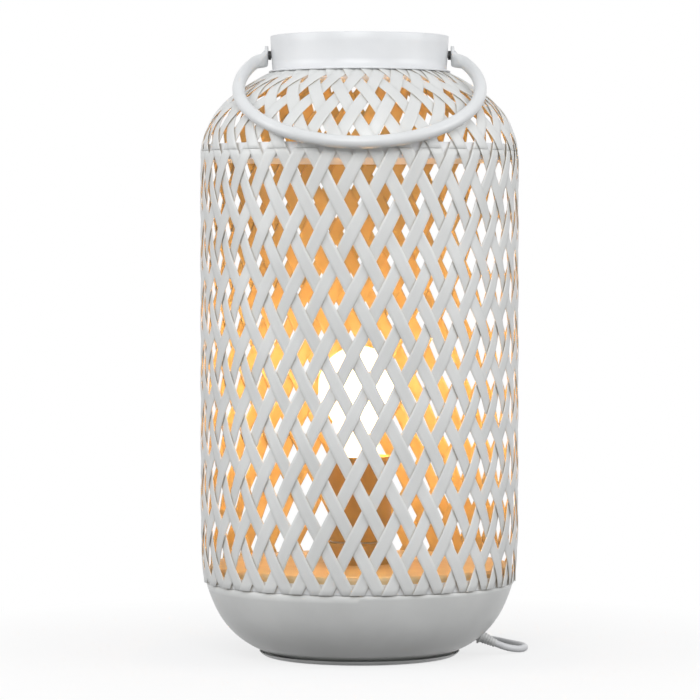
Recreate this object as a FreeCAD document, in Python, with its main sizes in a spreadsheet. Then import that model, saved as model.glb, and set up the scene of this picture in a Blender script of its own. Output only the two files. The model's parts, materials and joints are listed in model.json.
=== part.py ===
import FreeCAD, Part
import Sketcher
import math
import os
import re
from FreeCAD import Vector

# Woven steel lantern lamp that stands on a table. A spun bowl on a shallow foot carries a shell
# of flat strips, woven over and under on two slants, which a domed shoulder closes towards an
# open collar. A tube handle hangs from two rivets in the collar. A screw-in bulb stands on a
# tray in the bowl's mouth, and the mains cord leaves through the bowl's right side.
#
# Frame: millimetres, +Z up, origin on the floor under the lamp's axis, front towards -Y.
# "Middle" of the shell means the middle of its weave, half-way between its two layers.
# Outlines of turned pieces are pairs of radius and height, run round the metal.

SIZES = [
    # foot and bowl
    ("sheet_wall", 0.8, "steel sheet of hoops, foot and tray"),
    ("foot_overhang", 16.0, "foot's flat past the bowl's flat"),
    ("foot_rim_width", 6.8, "from the foot's flat to its upturned edge"),
    ("foot_rim_height", 3.3, "height of that edge's outside"),
    ("bowl_wall", 0.9, "spun steel"),
    ("bowl_hatch_step", 14.0, "from the bowl's flat edge in to the wiring hatch"),
    ("bowl_flat_inset", 62.6, "from the shell's foot in to the edge of the bowl's flat"),
    ("bowl_turn_radius", 60.5, "arc from the flat into the side"),
    ("bowl_turn_height", 34.0, "where that arc gives way to the upper side"),
    ("bowl_seam_height", 54.5, "joint between bowl and weave"),
    ("bowl_seam_step", 1.1, "weave's middle to the bowl's outside"),
    ("bowl_side_radius", 110.0, "arc of the upper side"),
    ("bowl_seam_gap", 0.2, "bowl below the lower hoop, lip inside it"),
    ("bowl_lip_height", 6.0, "joggled lip inside the lower hoop"),
    ("foot_screw_count", 3, "screws that hold the foot dish"),
    ("foot_screw_inset", 7.0, "from the edge of the bowl's flat in to their circle"),
    ("foot_screw_radius", 1.5, "shank"),
    ("foot_screw_head", 2.8, "radius of the countersunk head"),
    ("foot_screw_length", 6.5, "overall"),
    ("foot_screw_gap", 0.1, "screw in its hole"),
    ("foot_nut_flats", 5.5, "across flats"),
    ("foot_nut_height", 2.4, "nut"),
    # woven shell
    ("shell_radius", 114.6, "straight part of the body"),
    ("shell_draw_in", 2.0, "how far the body draws in at the bowl's seam"),
    ("shell_draw_rise", 45.5, "from that seam to where the drawing-in starts"),
    ("shoulder_start_height", 360.0, "where the shell starts to curve in"),
    ("shoulder_seam_rise", 6.0, "from there to the joint of body strips and shoulder strips"),
    ("shoulder_turn_radius", 57.0, "lower arc of the shoulder"),
    ("shoulder_turn_angle", 51.3, "degrees that it turns through"),
    ("shoulder_crown_radius", 139.0, "flatter arc up to the collar"),
    ("shoulder_crown_angle", 14.6, "degrees that it turns through"),
    ("strip_count", 32, "strips on each slant"),
    ("strip_width", 9.0, "flat strip"),
    ("strip_thickness", 0.6, "flat strip"),
    ("strip_seam_gap", 0.2, "weld between body strips and shoulder strips"),
    ("weave_height", 0.7, "how far a strip runs off the middle at a crossing"),
    ("body_row_height", 21.62, "from one row of crossings to the next"),
    ("body_first_rise", 16.2, "from the bowl's seam to the lowest whole row"),
    ("shoulder_row_length", 19.6, "the same, measured along the shoulder"),
    ("shoulder_first_row", 12.6, "lowest row, along the shoulder from its start"),
    ("weave_phase", 3.3, "degrees, turns the crossings about the axis"),
    ("hoop_slack", 0.35, "strips to the hoops behind them and the collar's lip over them"),
    ("crossing_margin", 1.05, "share of a crossing over which a strip stays level"),
    ("lower_hoop_height", 7.5, "band behind the strips' lower ends"),
    ("upper_hoop_below", 7.0, "upper band, below the seam"),
    ("upper_hoop_above", 5.0, "upper band, above the seam"),
    # collar and handle
    ("collar_wall", 0.8, "rolled sheet"),
    ("neck_ring_gap", 0.2, "ring's leg inside the collar"),
    ("collar_inset", 0.44, "collar's outside within the end of its lip's underside"),
    ("collar_flare", 1.5, "how much wider at the top"),
    ("collar_height", 24.82, "from its foot to its top"),
    ("collar_hem_height", 4.5, "edge folded inwards"),
    ("hem_round", 0.6, "height of the fold's rounded edge"),
    ("collar_lip_turn", 0.9, "degrees of the crown that the lip over the strips covers"),
    ("neck_ring_rise", 6.32, "from the collar's foot to the top of the ring inside it"),
    ("neck_ring_turn", 2.7, "degrees of the crown that its flange covers"),
    ("pivot_rise", 11.02, "from the collar's foot to the handle's rivets"),
    ("rivet_radius", 2.0, "shank"),
    ("rivet_fit", 0.08, "running clearance in the handle"),
    ("rivet_head_radius", 3.7, "domed head outside"),
    ("rivet_head_height", 2.4, "domed head outside"),
    ("rivet_tail_radius", 3.4, "closed head inside the collar"),
    ("rivet_tail_height", 1.1, "closed head inside the collar"),
    ("rivet_play", 0.15, "head to tongue, tongue to spacer"),
    ("hole_gap", 0.05, "rivet in the holes of collar and spacer"),
    ("spacer_gap", 0.1, "spacer and closed head off the collar"),
    ("spacer_radius", 3.3, "black washer between collar and handle"),
    ("spacer_length", 1.9, "black washer between collar and handle"),
    ("bail_tube_radius", 4.5, "handle tube"),
    ("bail_inset", 28.6, "middle line of the tube's bend within the shell"),
    ("bail_rest_gap", 0.32, "hanging handle to the shoulder"),
    ("bail_round_angle", 117.5, "degrees from the lowest point to where the tube flattens"),
    ("tongue_thickness", 2.5, "flattened end of the tube"),
    ("tongue_width", 11.5, "flattened end of the tube"),
    ("tongue_tip", 8.2, "past the rivet"),
    ("tongue_straight", 5.0, "before the rivet, to where it swells"),
    # tray, lamp holder and bulb
    ("tray_rise", 12.5, "from the bowl's seam to the top face"),
    ("tray_skirt_gap", 0.2, "skirt inside the bowl's lip"),
    ("tray_skirt_height", 12.0, "turned-down edge"),
    ("tray_corner", 3.0, "outside radius of that edge"),
    ("nipple_radius", 5.0, "threaded tube that clamps the holder"),
    ("nipple_bore", 3.4, "way for the two wires"),
    ("nipple_below", 9.0, "under the tray's top"),
    ("nipple_in_holder", 14.9, "over the groove under the sleeve"),
    ("nut_flats", 14.0, "nut under the tray"),
    ("nut_height", 3.5, "nut under the tray"),
    ("washer_radius", 9.0, "washer under the tray"),
    ("washer_height", 1.2, "washer under the tray"),
    ("cup_radius", 23.5, "foot of the lamp holder"),
    ("cup_height", 15.5, "foot of the lamp holder"),
    ("cup_wall", 1.0, "foot of the lamp holder"),
    ("cup_corner", 2.0, "rounded top edge"),
    ("groove_height", 1.6, "shadow groove between foot and sleeve"),
    ("groove_depth", 2.0, "shadow groove between foot and sleeve"),
    ("sleeve_radius", 23.0, "cover round the lamp holder"),
    ("sleeve_length", 60.9, "cover round the lamp holder"),
    ("sleeve_wall", 1.2, "cover round the lamp holder"),
    ("holder_radius", 19.5, "moulded lamp holder"),
    ("holder_wall", 4.4, "moulded lamp holder"),
    ("holder_depth", 35.0, "from the lamp holder's rim to the floor inside"),
    ("holder_ledge_depth", 26.0, "from the rim to the step that the threaded shell stands on"),
    ("holder_ledge", 2.5, "how far that step reaches in"),
    ("holder_length", 56.9, "from the groove to the rim"),
    ("shell_wall_brass", 0.4, "threaded brass shell"),
    ("shell_length_brass", 24.0, "threaded brass shell"),
    ("contact_width", 7.0, "spring tongue under the bulb"),
    ("contact_reach", 8.0, "half its length on the floor"),
    ("contact_thickness", 0.5, "spring tongue under the bulb"),
    ("cap_radius", 13.2, "bulb's screw cap"),
    ("cap_wall", 0.5, "brass of the cap"),
    ("cap_proud", 0.5, "screw cap over the lamp holder's rim"),
    ("cap_length", 25.0, "bulb's screw cap"),
    ("cap_tip_radius", 5.0, "bulb's centre contact"),
    ("cap_tip_height", 2.6, "bulb's centre contact"),
    ("bulb_radius", 30.0, "glass globe"),
    ("neck_step", 1.5, "glass from the cap to its full neck"),
    ("neck_straight", 5.8715, "straight neck up to the hollow bend"),
    ("bulb_neck_radius", 14.4, "glass at the cap"),
    ("bulb_neck_bend", 46.0, "hollow bend between neck and globe"),
    ("glass_wall", 0.8, "glass"),
    ("glass_foot", 3.0, "glass inside the cap"),
    ("stem_radius", 5.0, "glass stem inside the bulb"),
    ("stem_flare", 7.0, "height of its flared foot"),
    ("stem_rod_radius", 0.9, "rod up to the light strips' tops"),
    ("wire_plate", 0.6, "plates that carry the light strips"),
    ("stem_length", 26.0, "glass stem inside the bulb"),
    ("filament_count", 4, "light strips on the stem"),
    ("filament_radius", 0.9, "light strips on the stem"),
    ("filament_rise", 34.0, "light strips, from plate to plate"),
    ("filament_top_spread", 2.8, "the same at the top"),
    ("filament_spread", 7.0, "half the distance across them at their foot"),
    # mains cord
    ("cord_radius", 2.5, "round mains cord"),
    ("gland_height", 13.8, "middle of the hole in the bowl's side"),
    ("gland_dip", 26.0, "degrees that the bush points down"),
    ("gland_gap", 0.05, "bush to the bowl"),
    ("gland_inside", 7.0, "inside end, from the bowl's outside"),
    ("gland_radius", 4.2, "moulded bush in that hole"),
    ("gland_flange_radius", 5.8, "its flange outside"),
    ("gland_flange", 1.4, "its flange outside"),
    ("gland_nose", 5.0, "its tapered sleeve outside"),
    ("gland_nose_tip", 3.4, "radius at the sleeve's end"),
    ("coil_turns", 3.5, "turns in each of the coil's two layers"),
    ("coil_inner_radius", 20.0, "middle line where the spiral turns back outwards"),
    ("coil_pitch", 5.5, "from one turn to the next, and from layer to layer"),
    ("coil_height", 3.6, "middle line of the lower layer"),
    ("coil_x", -45.0, "middle of the coil"),
    ("coil_y", 146.625, "middle of the coil"),
    ("coil_sides", 6, "sides of the wound cord"),
    ("cord_sides", 8, "sides of the free cord"),
    ("cord_end_gap", 0.5, "cord to the faces of switch and plug, and between its stretches"),
    ("tie_width", 6.0, "strap round the coil"),
    ("tie_thickness", 0.8, "strap round the coil"),
    ("tie_gap", 0.3, "strap to the cord"),
    ("switch_length", 58.0, "switch on the cord"),
    ("switch_x", 22.0, "middle of the switch"),
    ("switch_y", 106.0, "middle of the switch"),
    ("switch_width", 24.0, "switch on the cord"),
    ("switch_base_height", 7.2, "lower half"),
    ("switch_cover_height", 7.3, "upper half"),
    ("switch_wall", 1.8, "both halves"),
    ("switch_end_width", 10.0, "where the cord goes in"),
    ("switch_taper", 10.0, "length of its narrowing ends"),
    ("rocker_width", 9.0, "rocker"),
    ("rocker_radius", 10.6, "pivot to the rocker's ends"),
    ("rocker_depth", 3.0, "pivot under the cover's top"),
    ("rocker_end_high", 22.0, "degrees above level of the end's upper edge"),
    ("rocker_end_low", 8.0, "degrees below level of the end's lower edge"),
    ("rocker_saddle", 2.4, "rocker's middle above the pivot"),
    ("cheek_length", 8.0, "bearings under the cover"),
    ("cheek_thickness", 2.5, "bearings under the cover"),
    ("cheek_height", 4.2, "bearings under the cover"),
    ("rocker_angle", 8.0, "degrees to either side of level"),
    ("rocker_gap", 0.4, "rocker to the cover"),
    ("rocker_pin_radius", 1.5, "rocker's trunnions"),
    ("rocker_pin_fit", 0.08, "running clearance of the trunnions"),
    ("plug_length", 34.0, "two-pin plug"),
    ("plug_x", 40.0, "cord end of the plug"),
    ("plug_y", 167.0, "middle of the plug"),
    ("plug_neck_width", 11.0, "where the cord goes in"),
    ("plug_shoulder", 6.0, "from neck to full width"),
    ("plug_width", 35.3, "two-pin plug"),
    ("plug_height", 13.7, "two-pin plug"),
    ("plug_neck_length", 16.0, "tapered end of the plug"),
    ("pin_radius", 2.0, "plug pins"),
    ("pin_length", 19.0, "plug pins"),
    ("pin_spacing", 18.6, "between the pins"),
]

# Worked out in the sheet from the sizes above, each from those before it.
DERIVED = [
    ("strip_reach", "weave_height + strip_thickness / 2"),
    ("hoop_drop", "strip_reach + hoop_slack"),
    ("lip_rise", "strip_reach + hoop_slack"),
    ("shell_foot_radius", "shell_radius - shell_draw_in"),
    ("shell_draw_height", "bowl_seam_height + shell_draw_rise"),
    ("shoulder_seam_height", "shoulder_start_height + shoulder_seam_rise"),
    ("body_first_row", "bowl_seam_height + body_first_rise"),
    ("bowl_flat_radius", "shell_foot_radius - bowl_flat_inset"),
    ("bowl_hatch_radius", "bowl_flat_radius - bowl_hatch_step"),
    ("foot_screw_circle", "bowl_flat_radius - foot_screw_inset"),
    ("foot_flat_radius", "bowl_flat_radius + foot_overhang"),
    ("foot_rim_radius", "foot_flat_radius + foot_rim_width"),
    ("draw_arc", "((shell_draw_height - bowl_seam_height) ^ 2 + (shell_radius - shell_foot_radius) ^ 2)"
     " / (2 * (shell_radius - shell_foot_radius))"),
    ("lower_hoop_top_height", "bowl_seam_height + lower_hoop_height"),
    ("lower_hoop_top_radius", "shell_radius - draw_arc"
     " + sqrt(draw_arc ^ 2 - (shell_draw_height - lower_hoop_top_height) ^ 2)"),
    ("turn_centre_radius", "shell_radius - shoulder_turn_radius"),
    ("seam_angle", "asin((shoulder_seam_height - shoulder_start_height)"
     " / shoulder_turn_radius) / deg"),
    ("upper_hoop_angle", "seam_angle + upper_hoop_above / shoulder_turn_radius * 180 / pi"),
    ("crown_centre_radius", "turn_centre_radius"
     " + (shoulder_turn_radius - shoulder_crown_radius) * cos(shoulder_turn_angle)"),
    ("crown_centre_height", "shoulder_start_height"
     " + (shoulder_turn_radius - shoulder_crown_radius) * sin(shoulder_turn_angle)"),
    ("crown_end_angle", "shoulder_turn_angle + shoulder_crown_angle"),
    ("crown_slope", "cos(crown_end_angle) / sin(crown_end_angle)"),
    ("lip_under_height", "crown_centre_height + (shoulder_crown_radius + lip_rise)"
     " * sin(crown_end_angle)"),
    ("lip_under_radius", "crown_centre_radius + (shoulder_crown_radius + lip_rise)"
     " * cos(crown_end_angle)"),
    ("collar_foot_radius", "lip_under_radius - collar_inset"),
    ("collar_foot_height", "lip_under_height"
     " + (lip_under_radius - collar_foot_radius + collar_wall) * crown_slope"),
    ("collar_top_radius", "collar_foot_radius + collar_flare"),
    ("collar_top_height", "collar_foot_height + collar_height"),
    ("collar_lean", "collar_flare / collar_height"),
    ("neck_ring_top", "collar_foot_height + neck_ring_rise"),
    ("pivot_height", "collar_foot_height + pivot_rise"),
    ("hem_radius", "collar_foot_radius - collar_wall"
     " + (collar_top_height - collar_hem_height - collar_foot_height) * collar_lean"),
    ("ring_foot_radius", "collar_foot_radius - collar_wall - neck_ring_gap"),
    ("ring_top_radius", "ring_foot_radius + (neck_ring_top - collar_foot_height) * collar_lean"),
    ("ring_under_height", "crown_centre_height + (shoulder_crown_radius - hoop_drop)"
     " * sin(crown_end_angle)"),
    ("ring_under_radius", "crown_centre_radius + (shoulder_crown_radius - hoop_drop)"
     " * cos(crown_end_angle)"),
    ("collar_pivot_radius", "collar_foot_radius + (pivot_height - collar_foot_height) * collar_lean"),
    ("spacer_start", "collar_pivot_radius + spacer_radius * collar_lean + spacer_gap"),
    ("tongue_start", "spacer_start + spacer_length + rivet_play"),
    ("tongue_middle", "tongue_start + tongue_thickness / 2"),
    ("head_start", "tongue_start + tongue_thickness + rivet_play"),
    ("tail_end", "sqrt((collar_pivot_radius - collar_wall - rivet_tail_radius * collar_lean) ^ 2"
     " - rivet_tail_radius ^ 2) - spacer_gap"),
    ("dome_arc", "(rivet_head_radius ^ 2 + rivet_head_height ^ 2) / (2 * rivet_head_height)"),
    ("bail_bend_radius", "shell_radius - bail_inset"),
    ("bail_centre", "sqrt(bail_bend_radius ^ 2 - tongue_middle ^ 2)"),
    ("foot_floor", "sheet_wall"),
    ("foot_arc", "((foot_rim_radius - foot_flat_radius) ^ 2 + foot_rim_height ^ 2)"
     " / (2 * foot_rim_height)"),
    ("bowl_turn_end", "bowl_flat_radius"
     " + sqrt(bowl_turn_radius ^ 2 - (foot_floor + bowl_turn_radius - bowl_turn_height) ^ 2)"),
    ("bowl_turn_end_inside", "bowl_flat_radius + sqrt((bowl_turn_radius - bowl_wall) ^ 2"
     " - (foot_floor + bowl_turn_radius - bowl_turn_height) ^ 2)"),
    ("bowl_seam_radius", "shell_foot_radius - bowl_seam_step"),
    ("lip_radius", "shell_foot_radius - hoop_drop - sheet_wall - bowl_seam_gap"),
    ("tray_radius", "lip_radius - bowl_wall - tray_skirt_gap"),
    ("tray_height", "bowl_seam_height + tray_rise"),
    ("cup_top_height", "tray_height + cup_height"),
    ("groove_top_height", "cup_top_height + groove_height"),
    ("nipple_top_height", "groove_top_height + nipple_in_holder"),
    ("sleeve_top_height", "groove_top_height + sleeve_length"),
    ("holder_top_height", "groove_top_height + holder_length"),
    ("holder_floor_height", "holder_top_height - holder_depth"),
    ("holder_ledge_height", "holder_top_height - holder_ledge_depth"),
    ("cap_top_height", "holder_top_height + cap_proud"),
    ("tray_hole", "nipple_radius + 0.1"),
    ("bend_centre_radius", "bulb_neck_radius + bulb_neck_bend"),
    ("bend_centre_height", "cap_top_height + neck_step + neck_straight"),
    ("globe_height", "bend_centre_height"
     " + sqrt((bulb_neck_bend + bulb_radius) ^ 2 - bend_centre_radius ^ 2)"),
    ("bulb_top_height", "globe_height + bulb_radius"),
    ("globe_share", "bulb_radius / (bulb_radius + bulb_neck_bend)"),
    ("globe_share_inside", "(bulb_radius - glass_wall) / (bulb_radius + bulb_neck_bend)"),
    ("cap_foot_height", "cap_top_height - cap_length"),
    ("contact_top_height", "cap_foot_height - cap_tip_height"),
    ("gland_start", "bowl_flat_radius"
     " + sqrt(bowl_turn_radius ^ 2 - (foot_floor + bowl_turn_radius - gland_height) ^ 2)"),
    ("switch_height", "switch_base_height + switch_cover_height"),
    ("pivot_drop", "switch_height - rocker_depth"),
]

NAMES = set()
DOC = FreeCAD.newDocument("lantern_lamp")
SHEET = DOC.addObject("Spreadsheet::Sheet", "Sizes")


def fill_sheet():
    """Put every size, and what follows from it, into the sheet under its name."""
    SHEET.set("A1", "name")
    SHEET.set("B1", "value")
    SHEET.set("C1", "meaning")
    row = 2
    for name, number, meaning in SIZES:
        SHEET.set("A%d" % row, name)
        SHEET.set("B%d" % row, str(number))
        SHEET.set("C%d" % row, meaning)
        SHEET.setAlias("B%d" % row, name)
        NAMES.add(name)
        row += 1
    for name, formula in DERIVED:
        SHEET.set("A%d" % row, name)
        SHEET.set("B%d" % row, "=" + formula)
        SHEET.setAlias("B%d" % row, name)
        NAMES.add(name)
        row += 1
    SHEET.recompute()


def bound(text):
    """The same expression with its names led by the sheet's."""
    def led(found):
        word = found.group(0)
        return "Sizes." + word if word in NAMES else word
    return re.sub(r"[a-z_]+", led, text)


def value(text):
    """The number that an expression of the sheet's names has now."""
    return float(SHEET.evalExpression(bound(text)))


# ---- turned pieces ----

def arc_between(start, end, radius):
    """Arc under a half turn; its centre is left of the way from start to end if radius > 0."""
    middle = (start + end) / 2
    half = (end - start) / 2
    side = Vector(-half.y, half.x, 0).normalize()
    rise = math.sqrt(radius * radius - half.Length * half.Length)
    centre = middle + side * math.copysign(rise, radius)
    circle = Part.Circle(centre, Vector(0, 0, 1), abs(radius))
    first = start if radius > 0 else end
    last = end if radius > 0 else start
    low = math.atan2(first.y - centre.y, first.x - centre.x)
    high = math.atan2(last.y - centre.y, last.x - centre.x)
    if high < low:
        high += 2 * math.pi
    return Part.ArcOfCircle(circle, low, high)


def pin_point(sketch, edge, corner, place):
    """Tie one corner of a sketch to its two expressions."""
    for kind, text, axis in (("DistanceX", place[0], -2), ("DistanceY", place[1], -1)):
        if text == "0":
            sketch.addConstraint(Sketcher.Constraint("PointOnObject", edge, corner, axis))
            continue
        index = sketch.addConstraint(
            Sketcher.Constraint(kind, -1, 1, edge, corner, value(text)))
        sketch.setExpression("Constraints[%d]" % index, bound(text))


def draw_outline(sketch, outline):
    """Closed outline of lines and arcs. A corner is (x, y) or (x, y, radius of the edge after it)."""
    points = [Vector(value(corner[0]), value(corner[1]), 0) for corner in outline]
    ends = []
    for index, corner in enumerate(outline):
        start = points[index]
        end = points[(index + 1) % len(points)]
        if len(corner) == 2:
            sketch.addGeometry(Part.LineSegment(start, end), False)
            ends.append((1, 2))
            continue
        radius = value(corner[2])
        sketch.addGeometry(arc_between(start, end, radius), False)
        ends.append((1, 2) if radius > 0 else (2, 1))
    for index, corner in enumerate(outline):
        after = (index + 1) % len(outline)
        sketch.addConstraint(
            Sketcher.Constraint("Coincident", index, ends[index][1], after, ends[after][0]))
    for index, corner in enumerate(outline):
        pin_point(sketch, index, ends[index][0], corner)
        if len(corner) == 3:
            number = sketch.addConstraint(
                Sketcher.Constraint("Radius", index, abs(value(corner[2]))))
            sketch.setExpression("Constraints[%d]" % number, bound("abs(%s)" % corner[2]))


def sketch_on(body, label, plane):
    """New sketch of a body on one of its three planes."""
    sketch = body.newObject("Sketcher::SketchObject", label)
    for feature in body.Origin.OriginFeatures:
        if feature.Role == plane:
            sketch.AttachmentSupport = [(feature, "")]
    sketch.MapMode = "FlatFace"
    return sketch


def turned(label, outline, axis=None, copies=None):
    """Body of revolution about the lamp's axis, or about a line ("x" or "y", expression)."""
    body = DOC.addObject("PartDesign::Body", label)
    sketch = sketch_on(body, label + "_outline", "XZ_Plane")
    draw_outline(sketch, outline)
    line = "V_Axis"
    if axis:
        along, place = axis
        level = value(place)
        ends = (Vector(level, 0, 0), Vector(level, 10, 0))
        if along == "y":
            ends = (Vector(0, level, 0), Vector(10, level, 0))
        number = sketch.addGeometry(Part.LineSegment(*ends), True)
        kind = "Vertical" if along == "x" else "Horizontal"
        sketch.addConstraint(Sketcher.Constraint(kind, number))
        tie = "DistanceX" if along == "x" else "DistanceY"
        index = sketch.addConstraint(Sketcher.Constraint(tie, -1, 1, number, 1, level))
        sketch.setExpression("Constraints[%d]" % index, bound(place))
        line = "Axis0"
    turn = body.newObject("PartDesign::Revolution", label + "_turn")
    turn.Profile = sketch
    turn.ReferenceAxis = (sketch, [line])
    turn.Angle = 360
    if copies:
        body.AllowCompound = True
        ring = body.newObject("PartDesign::PolarPattern", label + "_ring")
        ring.Originals = [turn]
        for feature in body.Origin.OriginFeatures:
            if feature.Role == "Z_Axis":
                ring.Axis = (feature, [""])
        ring.Angle = 360
        ring.setExpression("Occurrences", bound(copies))
        body.Tip = ring
    return body


def padded(label, outline, plane, length, middle=False):
    """Body pushed out of an outline on the XY or XZ plane."""
    body = DOC.addObject("PartDesign::Body", label)
    sketch = sketch_on(body, label + "_outline", plane)
    draw_outline(sketch, outline)
    pad = body.newObject("PartDesign::Pad", label + "_pad")
    pad.Profile = sketch
    pad.setExpression("Length", bound(length))
    pad.Midplane = middle
    return body


# ---- plain shapes ----

def made(kind, label, sizes, place=("0", "0", "0"), turn=None):
    """Plain shape with its sizes and place tied to expressions; turn is (axis, expression)."""
    item = DOC.addObject("Part::" + kind, label)
    if turn:
        item.Placement = FreeCAD.Placement(Vector(), FreeCAD.Rotation(turn[0], value(turn[1])))
        item.setExpression(".Placement.Rotation.Angle", bound(turn[1]))
    for name, text in sizes.items():
        item.setExpression(name, bound(text))
    for name, text in zip("xyz", place):
        item.setExpression(".Placement.Base." + name, bound(text))
    return item


def cylinder(label, radius, height, place=("0", "0", "0"), turn=None):
    return made("Cylinder", label, {"Radius": radius, "Height": height}, place, turn)


def box(label, length, width, height, place):
    """Box from its low corner."""
    return made("Box", label, {"Length": length, "Width": width, "Height": height}, place)


def fused(label, shapes):
    item = DOC.addObject("Part::MultiFuse", label)
    item.Shapes = shapes
    return item


def cut(label, base, tools):
    item = DOC.addObject("Part::Cut", label)
    item.Base = base
    item.Tool = tools[0] if len(tools) == 1 else fused(label + "_tools", tools)
    return item


def common(label, base, tool):
    item = DOC.addObject("Part::Common", label)
    item.Base = base
    item.Tool = tool
    return item


def grouped(label, shapes):
    item = DOC.addObject("Part::Compound", label)
    item.Links = shapes
    return item


def shaped(label, shape):
    """Computed shape that no plain feature fits."""
    item = DOC.addObject("Part::Feature", label)
    item.Shape = shape
    return item


# ---- foot and bowl ----

def make_foot():
    sheet = turned("foot_dish_sheet", [
        ("0", "0"),
        ("foot_flat_radius", "0", "foot_arc"),
        ("foot_rim_radius", "foot_rim_height"),
        ("foot_rim_radius - sheet_wall", "foot_rim_height", "sheet_wall - foot_arc"),
        ("foot_flat_radius", "sheet_wall"),
        ("0", "sheet_wall"),
    ])
    holes = []
    for index in range(int(value("foot_screw_count"))):
        angle = 360.0 * index / value("foot_screw_count")
        place = ("foot_screw_circle * cos(%s)" % angle, "foot_screw_circle * sin(%s)" % angle, "0")
        holes.append(cylinder("foot_hole_%d" % index, "foot_screw_radius + foot_screw_gap",
                              "foot_floor", place))
        holes.append(made("Cone", "foot_sink_%d" % index, {
            "Radius1": "foot_screw_head + foot_screw_gap",
            "Radius2": "foot_screw_radius + foot_screw_gap",
            "Height": "foot_floor - 0.05"}, place))
    cut("foot_dish", sheet, holes)
    middle = "foot_screw_circle"
    turned("foot_screws", [
        (middle, "0"),
        (middle + " + foot_screw_head", "0"),
        (middle + " + foot_screw_radius", "foot_floor - 0.05"),
        (middle + " + foot_screw_radius", "foot_screw_length"),
        (middle, "foot_screw_length"),
    ], ("x", middle), "foot_screw_count")
    nuts = []
    for index in range(int(value("foot_screw_count"))):
        angle = 360.0 * index / value("foot_screw_count")
        place = ("foot_screw_circle * cos(%s)" % angle, "foot_screw_circle * sin(%s)" % angle,
                 "foot_floor + bowl_wall")
        block = made("Prism", "foot_nut_%d" % index, {
            "Circumradius": "foot_nut_flats / 2 / cos(30)", "Height": "foot_nut_height"}, place)
        block.Polygon = 6
        nuts.append(cut("foot_nut_cut_%d" % index, block, [
            cylinder("foot_nut_bore_%d" % index, "foot_screw_radius + foot_screw_gap / 2",
                     "foot_nut_height", place)]))
    grouped("foot_nuts", nuts)


def gland_place(along):
    """Point on the gland's axis, so far outside the bowl."""
    return ("gland_start + (%s) * cos(gland_dip)" % along, "0",
            "gland_height - (%s) * sin(gland_dip)" % along)


def gland_rod(label, radius, start, length):
    return cylinder(label, radius, length, gland_place(start),
                    (Vector(0, 1, 0), "90 + gland_dip"))


def bowl_form(label, grow):
    """Solid of what the bowl's lower side encloses, grown or shrunk."""
    reach = "(bowl_turn_radius + (%s))" % grow
    return turned(label, [
        ("0", "foot_floor - (%s)" % grow),
        ("bowl_flat_radius", "foot_floor - (%s)" % grow, reach),
        ("bowl_flat_radius + sqrt(%s ^ 2 - (foot_floor + bowl_turn_radius - bowl_turn_height) ^ 2)"
         % reach, "bowl_turn_height"),
        ("0", "bowl_turn_height"),
    ])


def make_bowl():
    seam = "bowl_seam_height - bowl_seam_gap"
    sheet = turned("bowl_sheet", [
        ("bowl_hatch_radius", "foot_floor"),
        ("bowl_flat_radius", "foot_floor", "bowl_turn_radius"),
        ("bowl_turn_end", "bowl_turn_height", "bowl_side_radius"),
        ("bowl_seam_radius", seam + " - bowl_wall"),
        ("lip_radius", seam),
        ("lip_radius", "bowl_seam_height + bowl_lip_height"),
        ("lip_radius - bowl_wall", "bowl_seam_height + bowl_lip_height"),
        ("lip_radius - bowl_wall", seam + " - bowl_wall / 2"),
        ("bowl_seam_radius - bowl_wall", seam + " - bowl_wall * 3 / 2", "bowl_wall - bowl_side_radius"),
        ("bowl_turn_end_inside", "bowl_turn_height", "bowl_wall - bowl_turn_radius"),
        ("bowl_flat_radius", "foot_floor + bowl_wall"),
        ("bowl_hatch_radius", "foot_floor + bowl_wall"),
    ])
    holes = [gland_rod("gland_hole", "gland_radius + gland_gap", "-8", "16")]
    for index in range(int(value("foot_screw_count"))):
        angle = 360.0 * index / value("foot_screw_count")
        place = ("foot_screw_circle * cos(%s)" % angle, "foot_screw_circle * sin(%s)" % angle,
                 "foot_floor")
        holes.append(cylinder("bowl_hole_%d" % index, "foot_screw_radius + foot_screw_gap",
                              "bowl_wall", place))
    cut("bowl", sheet, holes)
    flange = gland_rod("gland_flange_rod", "gland_flange_radius", "-gland_flange_radius",
                       "gland_flange_radius + gland_flange")
    outside = cut("gland_flange_cut", flange, [bowl_form("gland_outside", "gland_gap")])
    inner = gland_rod("gland_inner_rod", "gland_flange_radius", "-gland_inside",
                      "gland_inside + gland_flange")
    inside = common("gland_inner_cut", inner,
                    bowl_form("gland_inside_form", "-bowl_wall - gland_gap"))
    neck = gland_rod("gland_neck", "gland_radius", "-gland_inside",
                     "gland_inside + gland_flange")
    nose = made("Cone", "gland_nose_cone", {
        "Radius1": "gland_radius", "Radius2": "gland_nose_tip",
        "Height": "gland_nose - gland_flange"}, gland_place("gland_flange"),
        (Vector(0, 1, 0), "90 + gland_dip"))
    fused("cord_gland", [outside, inside, neck, nose])


# ---- woven shell ----

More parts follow.
